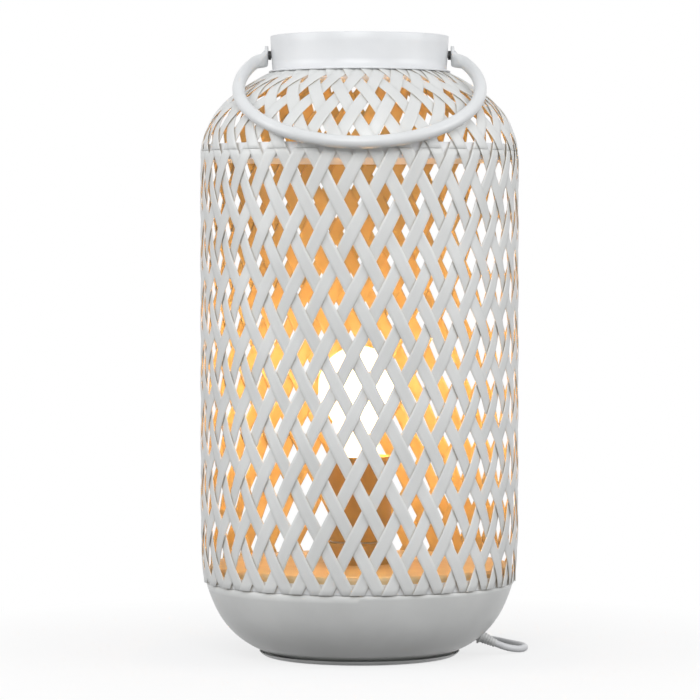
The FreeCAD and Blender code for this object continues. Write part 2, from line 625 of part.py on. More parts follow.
class Meridian:
    """Line of the weave's middle from the bowl's seam to the collar, by length along it."""

    def __init__(self):
        self.radius = value("shell_radius")
        self.draw = value("draw_arc")
        rise = value("shell_draw_height - bowl_seam_height")
        self.draw_length = self.draw * math.asin(rise / self.draw)
        self.draw_top = value("shell_draw_height")
        self.straight = value("shoulder_start_height - shell_draw_height")
        self.shoulder = self.draw_length + self.straight
        self.turn = value("shoulder_turn_radius")
        self.turn_length = self.turn * math.radians(value("shoulder_turn_angle"))
        self.crown = value("shoulder_crown_radius")
        self.crown_length = self.crown * math.radians(value("shoulder_crown_angle"))
        self.start = value("shoulder_start_height")
        self.turn_centre = value("turn_centre_radius")
        self.turn_angle = math.radians(value("shoulder_turn_angle"))
        self.crown_radius = value("crown_centre_radius")
        self.crown_height = value("crown_centre_height")
        self.seam = self.shoulder + self.turn * math.radians(value("seam_angle"))
        self.end = self.shoulder + self.turn_length + self.crown_length

    def at(self, along):
        """Radius, height and the two parts of the outward normal."""
        if along < self.draw_length:
            angle = (along - self.draw_length) / self.draw
            return (self.radius - self.draw * (1 - math.cos(angle)),
                    self.draw_top + self.draw * math.sin(angle), math.cos(angle), math.sin(angle))
        if along < self.shoulder:
            return self.radius, self.draw_top + along - self.draw_length, 1.0, 0.0
        if along < self.shoulder + self.turn_length:
            angle = (along - self.shoulder) / self.turn
            return (self.turn_centre + self.turn * math.cos(angle),
                    self.start + self.turn * math.sin(angle), math.cos(angle), math.sin(angle))
        angle = self.turn_angle + (along - self.shoulder - self.turn_length) / self.crown
        return (self.crown_radius + self.crown * math.cos(angle),
                self.crown_height + self.crown * math.sin(angle),
                math.cos(angle), math.sin(angle))


def row_places(line):
    """Lengths along the meridian of the rows of crossings, from one row below the seam."""
    pitch = value("body_row_height")
    rows = [value("body_first_rise") - pitch]
    last_whole = line.shoulder + value("shoulder_first_row") - pitch
    while rows[-1] + pitch / 2 < last_whole:
        rows.append(rows[-1] + pitch)
    rows.append(line.shoulder + value("shoulder_first_row"))
    while rows[-1] < line.end:
        rows.append(rows[-1] + value("shoulder_row_length"))
    return rows


def strip_sections(line, rows, start, end, slant, level_crossings):
    """Four-cornered sections of one strip between two lengths along the meridian."""
    half_step = math.pi / value("strip_count")
    width = value("strip_width")
    half_sheet = value("strip_thickness") / 2
    height = value("weave_height")
    steps = [after - row for row, after in zip(rows, rows[1:])]
    steps.append(steps[-1])

    def crossed(index):
        """Half the length, along the meridian, over which another strip lies at a row."""
        radius = line.at(rows[index])[0]
        lean = math.atan(half_step / steps[index] * radius)
        return value("crossing_margin") * width / 4 / math.sin(lean)

    flats = [crossed(index) / steps[index] for index in range(len(rows))]

    def row_count(along):
        """How many rows lie below, with the share of the next, and the azimuth's growth."""
        index = sum(1 for row in rows[1:-1] if row < along)
        return index + (along - rows[index]) / steps[index], half_step / steps[index]

    def lift_at(count):
        """Level over each crossing, straight from one side to the other between two rows."""
        index = int(min(max(count, 0), len(rows) - 2))
        if index == len(rows) - 2:
            return height * slant * (1 if index % 2 == 0 else -1)
        low = index + flats[index]
        high = index + 1 - flats[index + 1]
        share = min(max((count - low) / (high - low), 0.0), 1.0)
        return height * slant * (1 - 2 * share) * (1 if index % 2 == 0 else -1)

    def corner(azimuth, along, lift):
        radius, level, out, up = line.at(along)
        radius += lift * out
        return Vector(radius * math.sin(azimuth), -radius * math.cos(azimuth), level + lift * up)

    def section(left, right):
        """Corners of a section; each side is its azimuth, length and lift."""
        return [corner(*left[:2], left[2] + half_sheet), corner(*right[:2], right[2] + half_sheet),
                corner(*right[:2], right[2] - half_sheet), corner(*left[:2], left[2] - half_sheet)]

    def level_section(along):
        """Section cut level, as at the strip's ends."""
        count, gain = row_count(along)
        azimuth = slant * half_step * (count - 1)
        radius = line.at(along)[0]
        half = width / 2 / (radius * math.cos(math.atan(gain * radius)))
        turn = slant * half / half_step / 2
        return section((azimuth - half, along, lift_at(count - turn)),
                       (azimuth + half, along, lift_at(count + turn)))

    def crossing(along):
        """Section along the other slant's direction."""
        count, gain = row_count(along)
        azimuth = slant * half_step * (count - 1)
        rise = width / 4 / math.sin(math.atan(gain * line.at(along)[0]))
        lift = lift_at(count)
        return section((azimuth - gain * rise, along + slant * rise, lift),
                       (azimuth + gain * rise, along - slant * rise, lift))

    inside = [index for index in range(len(rows)) if start < rows[index] < end]
    sections = [level_section(start)]
    for index in inside:
        row = rows[index]
        half = crossed(index)
        whole = row - 2 * half > start
        if whole and (level_crossings or index == inside[0]):
            sections.append(crossing(row - half))
        if not whole or not level_crossings:
            sections.append(crossing(row))
        if level_crossings or index == inside[-1]:
            sections.append(crossing(row + half))
    sections.append(level_section(end))
    return sections


def flat_face(corners):
    return Part.Face(Part.makePolygon(corners + corners[:1]))


def folded_strip(sections, slant):
    """Solid through four-cornered sections, each side of a step as two flat triangles."""
    faces = []
    for end in (sections[0], sections[-1]):
        faces.append(flat_face([end[0], end[1], end[2]]))
        faces.append(flat_face([end[0], end[2], end[3]]))
    for low, high in zip(sections, sections[1:]):
        for side in range(4):
            after = (side + 1) % 4
            if (side == 0) == (slant > 0):
                faces.append(flat_face([low[side], low[after], high[side]]))
                faces.append(flat_face([low[after], high[after], high[side]]))
            else:
                faces.append(flat_face([low[side], low[after], high[after]]))
                faces.append(flat_face([low[side], high[after], high[side]]))
    shell = Part.makeShell(faces)
    shell.sewShape()
    solid = Part.makeSolid(shell)
    if solid.Volume < 0:
        solid.reverse()
    return solid


def woven(label, line, rows, start, end, slant, level_crossings=False):
    """All strips of one slant, turned about the axis from the first."""
    strip = folded_strip(strip_sections(line, rows, start, end, slant, level_crossings), slant)
    count = int(value("strip_count"))
    strips = []
    for index in range(count):
        copy = strip.copy()
        copy.rotate(Vector(), Vector(0, 0, 1), value("weave_phase") + 360.0 * index / count)
        strips.append(copy)
    return shaped(label, Part.makeCompound(strips))


def make_shell():
    line = Meridian()
    rows = row_places(line)
    gap = value("strip_seam_gap") / 2
    woven("weave_rising", line, rows, 0.0, line.seam - gap, 1)
    woven("weave_falling", line, rows, 0.0, line.seam - gap, -1)
    woven("shoulder_rising", line, rows, line.seam + gap, line.end, 1, True)
    woven("shoulder_falling", line, rows, line.seam + gap, line.end, -1, True)
    turned("lower_hoop", [
        ("shell_foot_radius - hoop_drop", "bowl_seam_height"),
        ("lower_hoop_top_radius - hoop_drop", "lower_hoop_top_height"),
        ("lower_hoop_top_radius - hoop_drop - sheet_wall", "lower_hoop_top_height"),
        ("shell_foot_radius - hoop_drop - sheet_wall", "bowl_seam_height"),
    ])
    inner = "(shoulder_turn_radius - strip_reach - hoop_slack)"
    inside = "(shoulder_turn_radius - strip_reach - hoop_slack - sheet_wall)"
    turned("upper_hoop", [
        ("shell_radius - hoop_drop", "shoulder_seam_height - upper_hoop_below"),
        ("turn_centre_radius + (shoulder_turn_radius - hoop_drop) * cos(seam_angle)",
         "shoulder_seam_height"),
        ("turn_centre_radius + %s * cos(upper_hoop_angle)" % inner,
         "shoulder_start_height + %s * sin(upper_hoop_angle)" % inner),
        ("turn_centre_radius + %s * cos(upper_hoop_angle)" % inside,
         "shoulder_start_height + %s * sin(upper_hoop_angle)" % inside),
        ("turn_centre_radius + (shoulder_turn_radius - hoop_drop - sheet_wall) * cos(seam_angle)",
         "shoulder_seam_height - 0.1"),
        ("shell_radius - hoop_drop - sheet_wall", "shoulder_seam_height - upper_hoop_below"),
    ])


# ---- collar and handle ----

def crown_point(stand_off, back):
    """Point of the shoulder's crown, off the weave's middle, so many degrees before its end."""
    reach = "(shoulder_crown_radius + (%s))" % stand_off
    return ("crown_centre_radius + %s * cos(crown_end_angle - %s)" % (reach, back),
            "crown_centre_height + %s * sin(crown_end_angle - %s)" % (reach, back))


def make_collar():
    foot = "collar_foot_radius"
    edge = "collar_wall + 0.05"
    sheet = turned("collar_sheet", [
        (foot + " - collar_wall", "collar_foot_height"),
        crown_point("lip_rise", "collar_lip_turn"),
        crown_point("lip_rise + collar_wall", "collar_lip_turn"),
        (foot, "collar_foot_height + collar_wall / 2"),
        ("collar_top_radius", "collar_top_height - hem_round",
         "((%s) ^ 2 + hem_round ^ 2) / (2 * hem_round)" % edge),
        ("collar_top_radius - 2 * (%s)" % edge, "collar_top_height - hem_round"),
        ("hem_radius - collar_wall - 0.1", "collar_top_height - collar_hem_height"),
        ("hem_radius", "collar_top_height - collar_hem_height"),
    ])
    reach = "collar_pivot_radius + 5"
    cut("collar", sheet, [
        cylinder("collar_holes", "rivet_radius + hole_gap", "2 * (%s)" % reach,
                 ("-(%s)" % reach, "0", "pivot_height"), (Vector(0, 1, 0), "90"))])
    turned("neck_ring", [
        crown_point("-hoop_drop", "0"),
        ("ring_foot_radius", "ring_under_height + (ring_under_radius - ring_foot_radius)"
         " * crown_slope"),
        ("ring_top_radius", "neck_ring_top"),
        ("ring_top_radius - sheet_wall", "neck_ring_top"),
        ("ring_foot_radius - sheet_wall", "ring_under_height + (ring_under_radius"
         " - ring_foot_radius) * crown_slope - sheet_wall"),
        crown_point("-hoop_drop - sheet_wall", "neck_ring_turn"),
        crown_point("-hoop_drop", "neck_ring_turn"),
    ])


def mirrored(label, source):
    """Left-hand twin of a right-hand piece."""
    item = DOC.addObject("Part::Mirroring", label)
    item.Source = source
    item.Normal = Vector(1, 0, 0)
    return item


def make_rivets():
    level = "pivot_height"
    rivet = turned("rivet_right", [
        ("tail_end - rivet_tail_height", level),
        ("tail_end - rivet_tail_height", level + " + rivet_tail_radius - 0.5"),
        ("tail_end - rivet_tail_height + 0.5", level + " + rivet_tail_radius"),
        ("tail_end", level + " + rivet_tail_radius"),
        ("tail_end", level + " + rivet_radius"),
        ("head_start", level + " + rivet_radius"),
        ("head_start", level + " + rivet_head_radius", "-dome_arc"),
        ("head_start + rivet_head_height", level),
    ], ("y", level))
    mirrored("rivet_left", rivet)
    spacer = turned("spacer_right", [
        ("spacer_start", level + " + rivet_radius + hole_gap"),
        ("spacer_start", level + " + spacer_radius"),
        ("spacer_start + spacer_length", level + " + spacer_radius"),
        ("spacer_start + spacer_length", level + " + rivet_radius + hole_gap"),
    ], ("y", level))
    mirrored("spacer_left", spacer)


def oval_wire(centre, across, half_thick, half_wide, power):
    """Closed curve that goes from round (power 2) to nearly square; wide along the pivots' Y."""
    points = []
    for index in range(16):
        angle = 2 * math.pi * index / 16
        side = math.cos(angle)
        rise = math.sin(angle)
        first = math.copysign(abs(side) ** (2 / power), side) * half_thick
        second = math.copysign(abs(rise) ** (2 / power), rise) * half_wide
        points.append(centre + across * first + Vector(0, 1, 0) * second)
    curve = Part.BSplineCurve()
    curve.interpolate(points, True)
    return Part.Wire(curve.toShape())


def swell_sections():
    """Sections from the round tube to the flat tongue, right side, hanging straight down."""
    bend = value("bail_bend_radius")
    round_angle = math.radians(value("bail_round_angle"))
    tube = value("bail_tube_radius")
    thick = value("tongue_thickness") / 2
    wide = value("tongue_width") / 2
    start = Vector(bend * math.sin(round_angle), 0,
                   -value("bail_centre") - bend * math.cos(round_angle))
    leave = Vector(math.cos(round_angle), 0, math.sin(round_angle))
    end = Vector(value("tongue_middle"), 0, -value("tongue_straight"))
    arrive = Vector(0, 0, 1)
    span = (end - start).Length
    sections = []
    for index in range(5):
        share = index / 4
        ease = share * share * (3 - 2 * share)
        place = start * (1 - ease) + end * ease
        place += leave * (span * share * (1 - share) ** 2)
        place -= arrive * (span * share * share * (1 - share))
        way = (leave * (1 - ease) + arrive * ease).normalize()
        across = Vector(way.z, 0, -way.x)
        sections.append(oval_wire(place, across, tube + (thick - tube) * ease,
                                  tube + (wide - tube) * ease, 2 + 6 * ease))
    return sections


def off_shell(line, radius, level):
    """Distance from the weave's outside to a point in front of the shell or shoulder."""
    steps = 400
    least = min(math.hypot(radius - place[0], level - place[1])
                for place in (line.at(line.end * step / steps) for step in range(steps + 1)))
    return least - value("strip_reach")


def rest_angle():
    """Degrees below level at which the hanging handle's tube reaches the shoulder."""
    line = Meridian()
    bend = value("bail_bend_radius")
    centre = value("bail_centre")
    pivot = value("pivot_height")
    wanted = value("bail_tube_radius + bail_rest_gap")
    turns = [math.radians(turn) for turn in range(0, 91, 3)]

    def room(tilt):
        """Least distance from the tube's middle line to the weave."""
        least = math.inf
        for turn in turns:
            reach = centre + bend * math.cos(turn)
            radius = math.hypot(bend * math.sin(turn), reach * math.cos(tilt))
            least = min(least, off_shell(line, radius, pivot - reach * math.sin(tilt)))
        return least

    low = 0.0
    high = math.pi / 4
    for index in range(40):
        tilt = (low + high) / 2
        if room(tilt) > wanted:
            low = tilt
        else:
            high = tilt
    return math.degrees(low)


def make_handle():
    """Handle in one piece, at rest, tilted forward onto the shoulder."""
    sections = swell_sections()
    axis = Vector(0, 1, 0)
    arc = Part.Face(sections[0]).revolve(Vector(0, 0, -value("bail_centre")), axis,
                                         2 * value("bail_round_angle"))
    swell = Part.makeLoft(sections, True, False)
    tip = value("tongue_tip")
    wide = value("tongue_width") / 2
    straight = value("tongue_straight")
    blade = Part.Face(sections[-1]).extrude(Vector(0, 0, straight + tip))
    plane = value("tongue_middle")
    deep = value("tongue_thickness")
    face = plane - deep / 2
    keep = Part.makeCylinder(wide, deep, Vector(face, 0, tip - wide), Vector(1, 0, 0))
    keep = keep.fuse(Part.makeBox(deep, 2 * wide, straight + tip - wide,
                                  Vector(face, -wide, -straight)))
    hole = Part.makeCylinder(value("rivet_radius + rivet_fit"), 2 * deep,
                             Vector(plane - deep, 0, 0), Vector(1, 0, 0))
    end = swell.fuse(blade.common(keep)).cut(hole)
    bail = arc.fuse([end, end.mirror(Vector(), Vector(1, 0, 0))])
    tilt = rest_angle()
    print("handle hangs %.2f degrees below level" % tilt)
    bail.rotate(Vector(), Vector(1, 0, 0), tilt - 90)
    bail.translate(Vector(0, 0, value("pivot_height")))
    shaped("handle_bail", bail)


# ---- tray, lamp holder and bulb ----

def make_tray():
    inner = "tray_corner - sheet_wall"
    turned("tray", [
        ("tray_hole", "tray_height - sheet_wall"),
        ("tray_radius - tray_corner", "tray_height - sheet_wall", "-(%s)" % inner),
        ("tray_radius - sheet_wall", "tray_height - tray_corner"),
        ("tray_radius - sheet_wall", "tray_height - tray_skirt_height"),
        ("tray_radius", "tray_height - tray_skirt_height"),
        ("tray_radius", "tray_height - tray_corner", "tray_corner"),
        ("tray_radius - tray_corner", "tray_height"),
        ("tray_hole", "tray_height"),
    ])
    turned("nipple", [
        ("nipple_bore", "tray_height - nipple_below"),
        ("nipple_radius", "tray_height - nipple_below"),
        ("nipple_radius", "nipple_top_height"),
        ("nipple_bore", "nipple_top_height"),
    ])
    under = "tray_height - sheet_wall"
    turned("nipple_washer", [
        ("tray_hole", under + " - washer_height"),
        ("washer_radius", under + " - washer_height"),
        ("washer_radius", under),
        ("tray_hole", under),
    ])
    low = under + " - washer_height - nut_height"
    block = made("Prism", "nipple_nut_block", {
        "Circumradius": "nut_flats / 2 / cos(30)", "Height": "nut_height"}, ("0", "0", low))
    block.Polygon = 6
    cut("nipple_nut", block, [
        cylinder("nipple_nut_bore", "nipple_radius + 0.05", "nut_height", ("0", "0", low))])


def make_holder():
    turned("pedestal_cup", [
        ("cup_radius - cup_wall", "tray_height"),
        ("cup_radius", "tray_height"),
        ("cup_radius", "cup_top_height - cup_corner", "cup_corner"),
        ("cup_radius - cup_corner", "cup_top_height"),
        ("tray_hole", "cup_top_height"),
        ("tray_hole", "cup_top_height - cup_wall"),
        ("cup_radius - cup_wall", "cup_top_height - cup_wall"),
    ])
    turned("lampholder_body", [
        ("tray_hole", "cup_top_height"),
        ("sleeve_radius - groove_depth", "cup_top_height"),
        ("sleeve_radius - groove_depth", "groove_top_height"),
        ("holder_radius", "groove_top_height"),
        ("holder_radius", "holder_top_height"),
        ("holder_radius - holder_wall", "holder_top_height"),
        ("holder_radius - holder_wall", "holder_ledge_height"),
        ("holder_radius - holder_wall - shell_wall_brass - holder_ledge", "holder_ledge_height"),
        ("holder_radius - holder_wall - shell_wall_brass - holder_ledge", "holder_floor_height"),
        ("nipple_bore", "holder_floor_height"),
        ("nipple_bore", "nipple_top_height"),
        ("tray_hole", "nipple_top_height"),
    ])
    turned("holder_sleeve", [
        ("holder_radius + 0.2", "groove_top_height"),
        ("sleeve_radius", "groove_top_height"),
        ("sleeve_radius", "sleeve_top_height"),
        ("sleeve_radius - sleeve_wall", "sleeve_top_height"),
        ("sleeve_radius - sleeve_wall", "groove_top_height + sleeve_wall"),
        ("holder_radius + 0.2", "groove_top_height + sleeve_wall"),
    ])
    outer = "holder_radius - holder_wall - 0.1"
    turned("screw_shell", [
        (outer + " - shell_wall_brass - holder_ledge + 0.2", "holder_ledge_height"),
        (outer, "holder_ledge_height"),
        (outer, "holder_ledge_height + shell_length_brass"),
        (outer + " - shell_wall_brass", "holder_ledge_height + shell_length_brass"),
        (outer + " - shell_wall_brass", "holder_ledge_height + shell_wall_brass"),
        (outer + " - shell_wall_brass - holder_ledge + 0.2",
         "holder_ledge_height + shell_wall_brass"),
    ])
    top = "contact_top_height"
    floor = "holder_floor_height"
    padded("centre_contact", [
        ("-contact_reach", floor),
        ("contact_reach", floor),
        ("contact_reach + contact_thickness", floor + " + 1"),
        ("contact_reach / 3", top),
        ("-contact_reach / 2", top),
        ("-contact_reach / 2", top + " - contact_thickness"),
        ("contact_reach / 3 - contact_thickness / 2", top + " - contact_thickness"),
        ("contact_reach - contact_thickness / 2", floor + " + 1"),
        ("contact_reach - contact_thickness", floor + " + contact_thickness"),
        ("-contact_reach", floor + " + contact_thickness"),
    ], "XZ_Plane", "contact_width", True)


def make_bulb():
    turned("bulb_cap", [
        ("0", "contact_top_height"),
        ("cap_tip_radius", "contact_top_height"),
        ("cap_radius - 2", "cap_foot_height"),
        ("cap_radius", "cap_foot_height + 3"),
        ("cap_radius", "cap_top_height"),
        ("cap_radius - cap_wall", "cap_top_height"),
        ("cap_radius - cap_wall", "cap_foot_height + 3"),
        ("cap_radius - 3", "cap_foot_height + 1"),
        ("0", "cap_foot_height + 1"),
    ])
    neck = "cap_radius - cap_wall - 0.1"
    foot = "cap_top_height - glass_foot"
    turned("bulb_glass", [
        (neck, foot),
        (neck, "cap_top_height"),
        ("bulb_neck_radius", "cap_top_height + neck_step"),
        ("bulb_neck_radius", "bend_centre_height", "-bulb_neck_bend"),
        ("bend_centre_radius * globe_share",
         "globe_height - (globe_height - bend_centre_height) * globe_share", "bulb_radius"),
        ("0", "bulb_top_height"),
        ("0", "bulb_top_height - glass_wall", "glass_wall - bulb_radius"),
        ("bend_centre_radius * globe_share_inside",
         "globe_height - (globe_height - bend_centre_height) * globe_share_inside",
         "bulb_neck_bend + glass_wall"),
        ("bulb_neck_radius - glass_wall", "bend_centre_height"),
        ("bulb_neck_radius - glass_wall", "cap_top_height + neck_step + glass_wall / 2"),
        (neck + " - glass_wall", "cap_top_height + glass_wall / 2"),
        (neck + " - glass_wall", foot),
    ])
    base = foot + " + stem_length"
    rod = "stem_rod_radius"
    spread = "filament_spread + 2 * filament_radius"
    narrow = "filament_top_spread + 2 * filament_radius"
    turned("bulb_stem", [
        ("0", foot),
        (neck + " - glass_wall", foot),
        ("stem_radius", foot + " + stem_flare"),
        ("stem_radius", base + " - 3"),
        (rod, base + " - wire_plate"),
        (spread, base + " - wire_plate"),
        (spread, base),
        (rod, base),
        (rod, base + " + filament_rise"),
        (narrow, base + " + filament_rise"),
        (narrow, base + " + filament_rise + wire_plate"),
        ("0", base + " + filament_rise + wire_plate"),
    ])
    count = int(value("filament_count"))
    lean = math.degrees(math.atan2(value("filament_spread - filament_top_spread"),
                                   value("filament_rise")))
    strips = []
    for index in range(count):
        angle = 360.0 * (index + 0.5) / count
        strip = made("Prism", "filament_%d" % index, {
            "Circumradius": "filament_radius",
            "Height": "filament_rise / cos(%s)" % lean},
            ("filament_spread * cos(%s)" % angle, "filament_spread * sin(%s)" % angle, base))
        strip.Polygon = 6
        turn = FreeCAD.Rotation(Vector(0, 0, 1), angle)
        turn = turn.multiply(FreeCAD.Rotation(Vector(0, 1, 0), -lean))
        strip.Placement = FreeCAD.Placement(strip.Placement.Base, turn)
        strips.append(strip)
    floor = box("filament_floor", "100", "100", "50", ("-50", "-50", "%s - 50" % base))
    roof = box("filament_roof", "100", "100", "50", ("-50", "-50", base + " + filament_rise"))
    cut("bulb_filaments", grouped("filament_group", strips), [floor, roof])


# ---- mains cord ----

def rounded_path(points):
    """Straight runs joined by tangent arcs, and the radii of the arcs."""
    edges = []
    radii = []
    last = points[0]
    for before, here, after in zip(points, points[1:], points[2:]):
        come = (here - before).normalize()
        go = (after - here).normalize()
        half = come.getAngle(go) / 2
        back = 0.45 * min((here - before).Length, (after - here).Length)
        radius = back / math.tan(half)
        radii.append(radius)
        inward = (go - come).normalize()
        middle = here + inward * (radius / math.cos(half) - radius)
        edges.append(Part.LineSegment(last, here - come * back).toShape())
        edges.append(Part.Arc(here - come * back, middle, here + go * back).toShape())
        last = here + go * back
    edges.append(Part.LineSegment(last, points[-1]).toShape())
    return Part.Wire(edges), radii


def tube_ring(centre, way, sides):
    """Many-sided outline of the cord, square to its way, one side down."""
    level = Vector(0, 0, 1).cross(way)
    if level.Length < 0.1:
        level = Vector(0, 1, 0)
    level = level.normalize()
    rise = way.cross(level).normalize()
    radius = value("cord_radius")
    points = []
    for index in range(sides):
        angle = 2 * math.pi * (index + 0.5) / sides - math.pi / 2
        points.append(centre + level * (radius * math.cos(angle)) + rise * (radius * math.sin(angle)))
    return Part.makePolygon(points + points[:1])


def cord_tube(label, points):
    """Free stretch of cord along a chosen route."""
    path, radii = rounded_path(points)
    ring = tube_ring(points[0], (points[1] - points[0]).normalize(), int(value("cord_sides")))
    tube = path.makePipeShell([ring], True, False)
    area = Part.Face(ring).Area
    print(label, "radii", " ".join("%.1f" % radius for radius in radii),
          "length %.1f" % path.Length, "volume over section and length %.4f"
          % (tube.Volume / area / path.Length))
    shaped(label, tube)
    return path.Length


def biarc(start, start_way, end, end_way):
    """Two tangent arcs that join two points with given directions."""
    chord = end - start
    both = start_way + end_way
    under = 2 * (1 - start_way.dot(end_way))
    along = -chord.dot(both)
    reach = (along + math.sqrt(along * along + under * chord.dot(chord))) / under
    if reach < 0:
        reach = (along - math.sqrt(along * along + under * chord.dot(chord))) / under
    joint = (start + end + (start_way - end_way) * reach) / 2
    edges = []
    for first, way, last in ((start, start_way, joint), (joint, None, end)):
        if way is None:
            way = (joint - (start + start_way * reach)).normalize()
        line = last - first
        normal = way.cross(line).normalize()
        side = normal.cross(way)
        radius = line.dot(line) / (2 * line.dot(side))
        centre = first + side * radius
        half = (first - centre) + (last - centre)
        edges.append(Part.Arc(first, centre + half.normalize() * abs(radius), last).toShape())
    return edges


def coil_point(turn):
    """Point of the coil's middle line after so many turns, and its direction."""
    turns = value("coil_turns")
    inner = value("coil_inner_radius")
    pitch = value("coil_pitch")
    climb = 0.5

    def place(at):
        radius = inner + pitch * abs(at - turns - climb / 2)
        share = min(max((at - turns) / climb, 0.0), 1.0)
        level = value("coil_height") + pitch * share * share * (3 - 2 * share)
        angle = -math.pi / 2 - 2 * math.pi * at
        return Vector(radius * math.cos(angle), radius * math.sin(angle), level)

    here = place(turn)
    step = 1e-4
    way = (place(turn + step) - place(turn - step)).normalize()
    return here, way


def make_coil():
    """Two flat layers of turns, in along the floor and out again on top."""
    centre = Vector(value("coil_x"), value("coil_y"), 0)
    total = 2 * value("coil_turns") + 0.5
    steps = int(round(total * 4))
    stub = 2 * value("cord_radius")
    places = []
    for index in range(steps + 1):
        point, way = coil_point(index * total / steps)
        if index in (0, steps):
            way = Vector(-1 if index == 0 else 1, 0, 0)
        places.append((point + centre, way))
    first, first_way = places[0]
    last, last_way = places[-1]
    edges = [Part.LineSegment(first - first_way * stub, first).toShape()]
    for (here, way), (there, other) in zip(places, places[1:]):
        edges += biarc(here, way, there, other)
    edges.append(Part.LineSegment(last, last + last_way * stub).toShape())
    path = Part.Wire(edges)
    ring = tube_ring(first - first_way * stub, first_way, int(value("coil_sides")))
    coil = path.makePipeShell([ring], True, False)
    shaped("cord_coil", coil)
    samples = []
    for edge in path.Edges:
        samples += edge.discretize(Distance=2.0)[:-1]
    reach = int(20 / 2.0)
    least = min((a - b).Length for i, a in enumerate(samples) for b in samples[i + reach:])
    print("coil least gap %.2f" % (least - 2 * value("cord_radius")),
          "length %.1f" % path.Length, "volume over section and length %.4f"
          % (coil.Volume / Part.Face(ring).Area / path.Length))
    inside = value("coil_inner_radius + coil_pitch / 2 - cord_radius - tie_gap")
    outside = value("coil_inner_radius + coil_pitch * coil_turns + cord_radius + tie_gap")
    sheet = value("tie_thickness")
    width = value("tie_width")
    top = value("coil_height + coil_pitch + cord_radius + tie_gap")
    band = Part.makeBox(outside - inside + 2 * sheet, width, top + sheet,
                        centre + Vector(-outside - sheet, -width / 2, 0))
    inner = Part.makeBox(outside - inside, width, top - sheet,
                         centre + Vector(-outside, -width / 2, sheet))
    shaped("cord_tie", band.cut(inner))
    return path.Length, (first - first_way * stub), (last + last_way * stub)


def make_cord():
    """Cord from the bush to the plug, with a switch and a tied coil of what is left over."""
    dip = math.radians(value("gland_dip"))
    nose = Vector(*[value(text) for text in gland_place("gland_nose")])
    out = Vector(math.cos(dip), 0, -math.sin(dip))
    switch = Vector(value("switch_x"), value("switch_y"), value("switch_base_height"))
    half = Vector(value("switch_length / 2 + cord_end_gap"), 0, 0)
    total = cord_tube("cord_run", [
        nose, nose + out * 13.0, Vector(115.3, 6.7, 3.0), Vector(122.1, 19.5, 2.5),
        Vector(121.0, 35.0, 2.5), Vector(112.0, 50.6, 2.5), Vector(102.8, 69.5, 2.5),
        Vector(91.6, 86.1, 2.5), Vector(78.5, 99.5, 3.0), Vector(64.5, 106.0, 6.6),
        switch + half])
    coil_length, coil_start, coil_end = make_coil()
    gap = Vector(value("cord_end_gap"), 0, 0)
    total += coil_length + 2 * half.x
    total += cord_tube("cord_lead", [
        switch - half, Vector(-15.5, 106.0, 6.2), Vector(-27.5, 106.0, 3.8), coil_start + gap])
    plug = Vector(value("plug_x - cord_end_gap"), value("plug_y"), value("plug_height / 2"))
    total += cord_tube("cord_tail", [
        coil_end + gap, Vector(-25.0, 187.2, 8.3), Vector(-8.0, 185.5, 3.6), Vector(9.0, 177.5, 2.5),
        Vector(24.0, 169.5, 4.8), plug])
    total += value("plug_length")
    print("cord length %.0f" % total)
    inner = Vector(*[value(text) for text in gland_place("-gland_inside")])
    bottom = value("tray_height - nipple_below")
    cord_tube("inner_lead", [
        inner, inner - out * 19.0, Vector(43.0, 0, 26.5), Vector(22.0, 0, 28.5),
        Vector(6.5, 0, 36.5), Vector(0, 0, 51.0), Vector(0, 0, bottom + 5.0)])


def switch_outline(shrink):
    """Plan of the switch on the cord, seen from above."""
    long = "(switch_length / 2 - (%s))" % shrink
    wide = "(switch_width / 2 - (%s))" % shrink
    end = "(switch_end_width / 2 - (%s) / 2)" % shrink
    waist = "(switch_length / 2 - switch_taper)"
    corners = [(long, "-" + end), (long, end), (waist, wide), ("-" + waist, wide),
               ("-" + long, end), ("-" + long, "-" + end), ("-" + waist, "-" + wide),
               (waist, "-" + wide)]
    return [("switch_x + (%s)" % x, "switch_y + (%s)" % y) for x, y in corners]


def raised(item, level):
    """Set a body's height by an expression."""
    item.setExpression(".Placement.Base.z", bound(level))
    return item


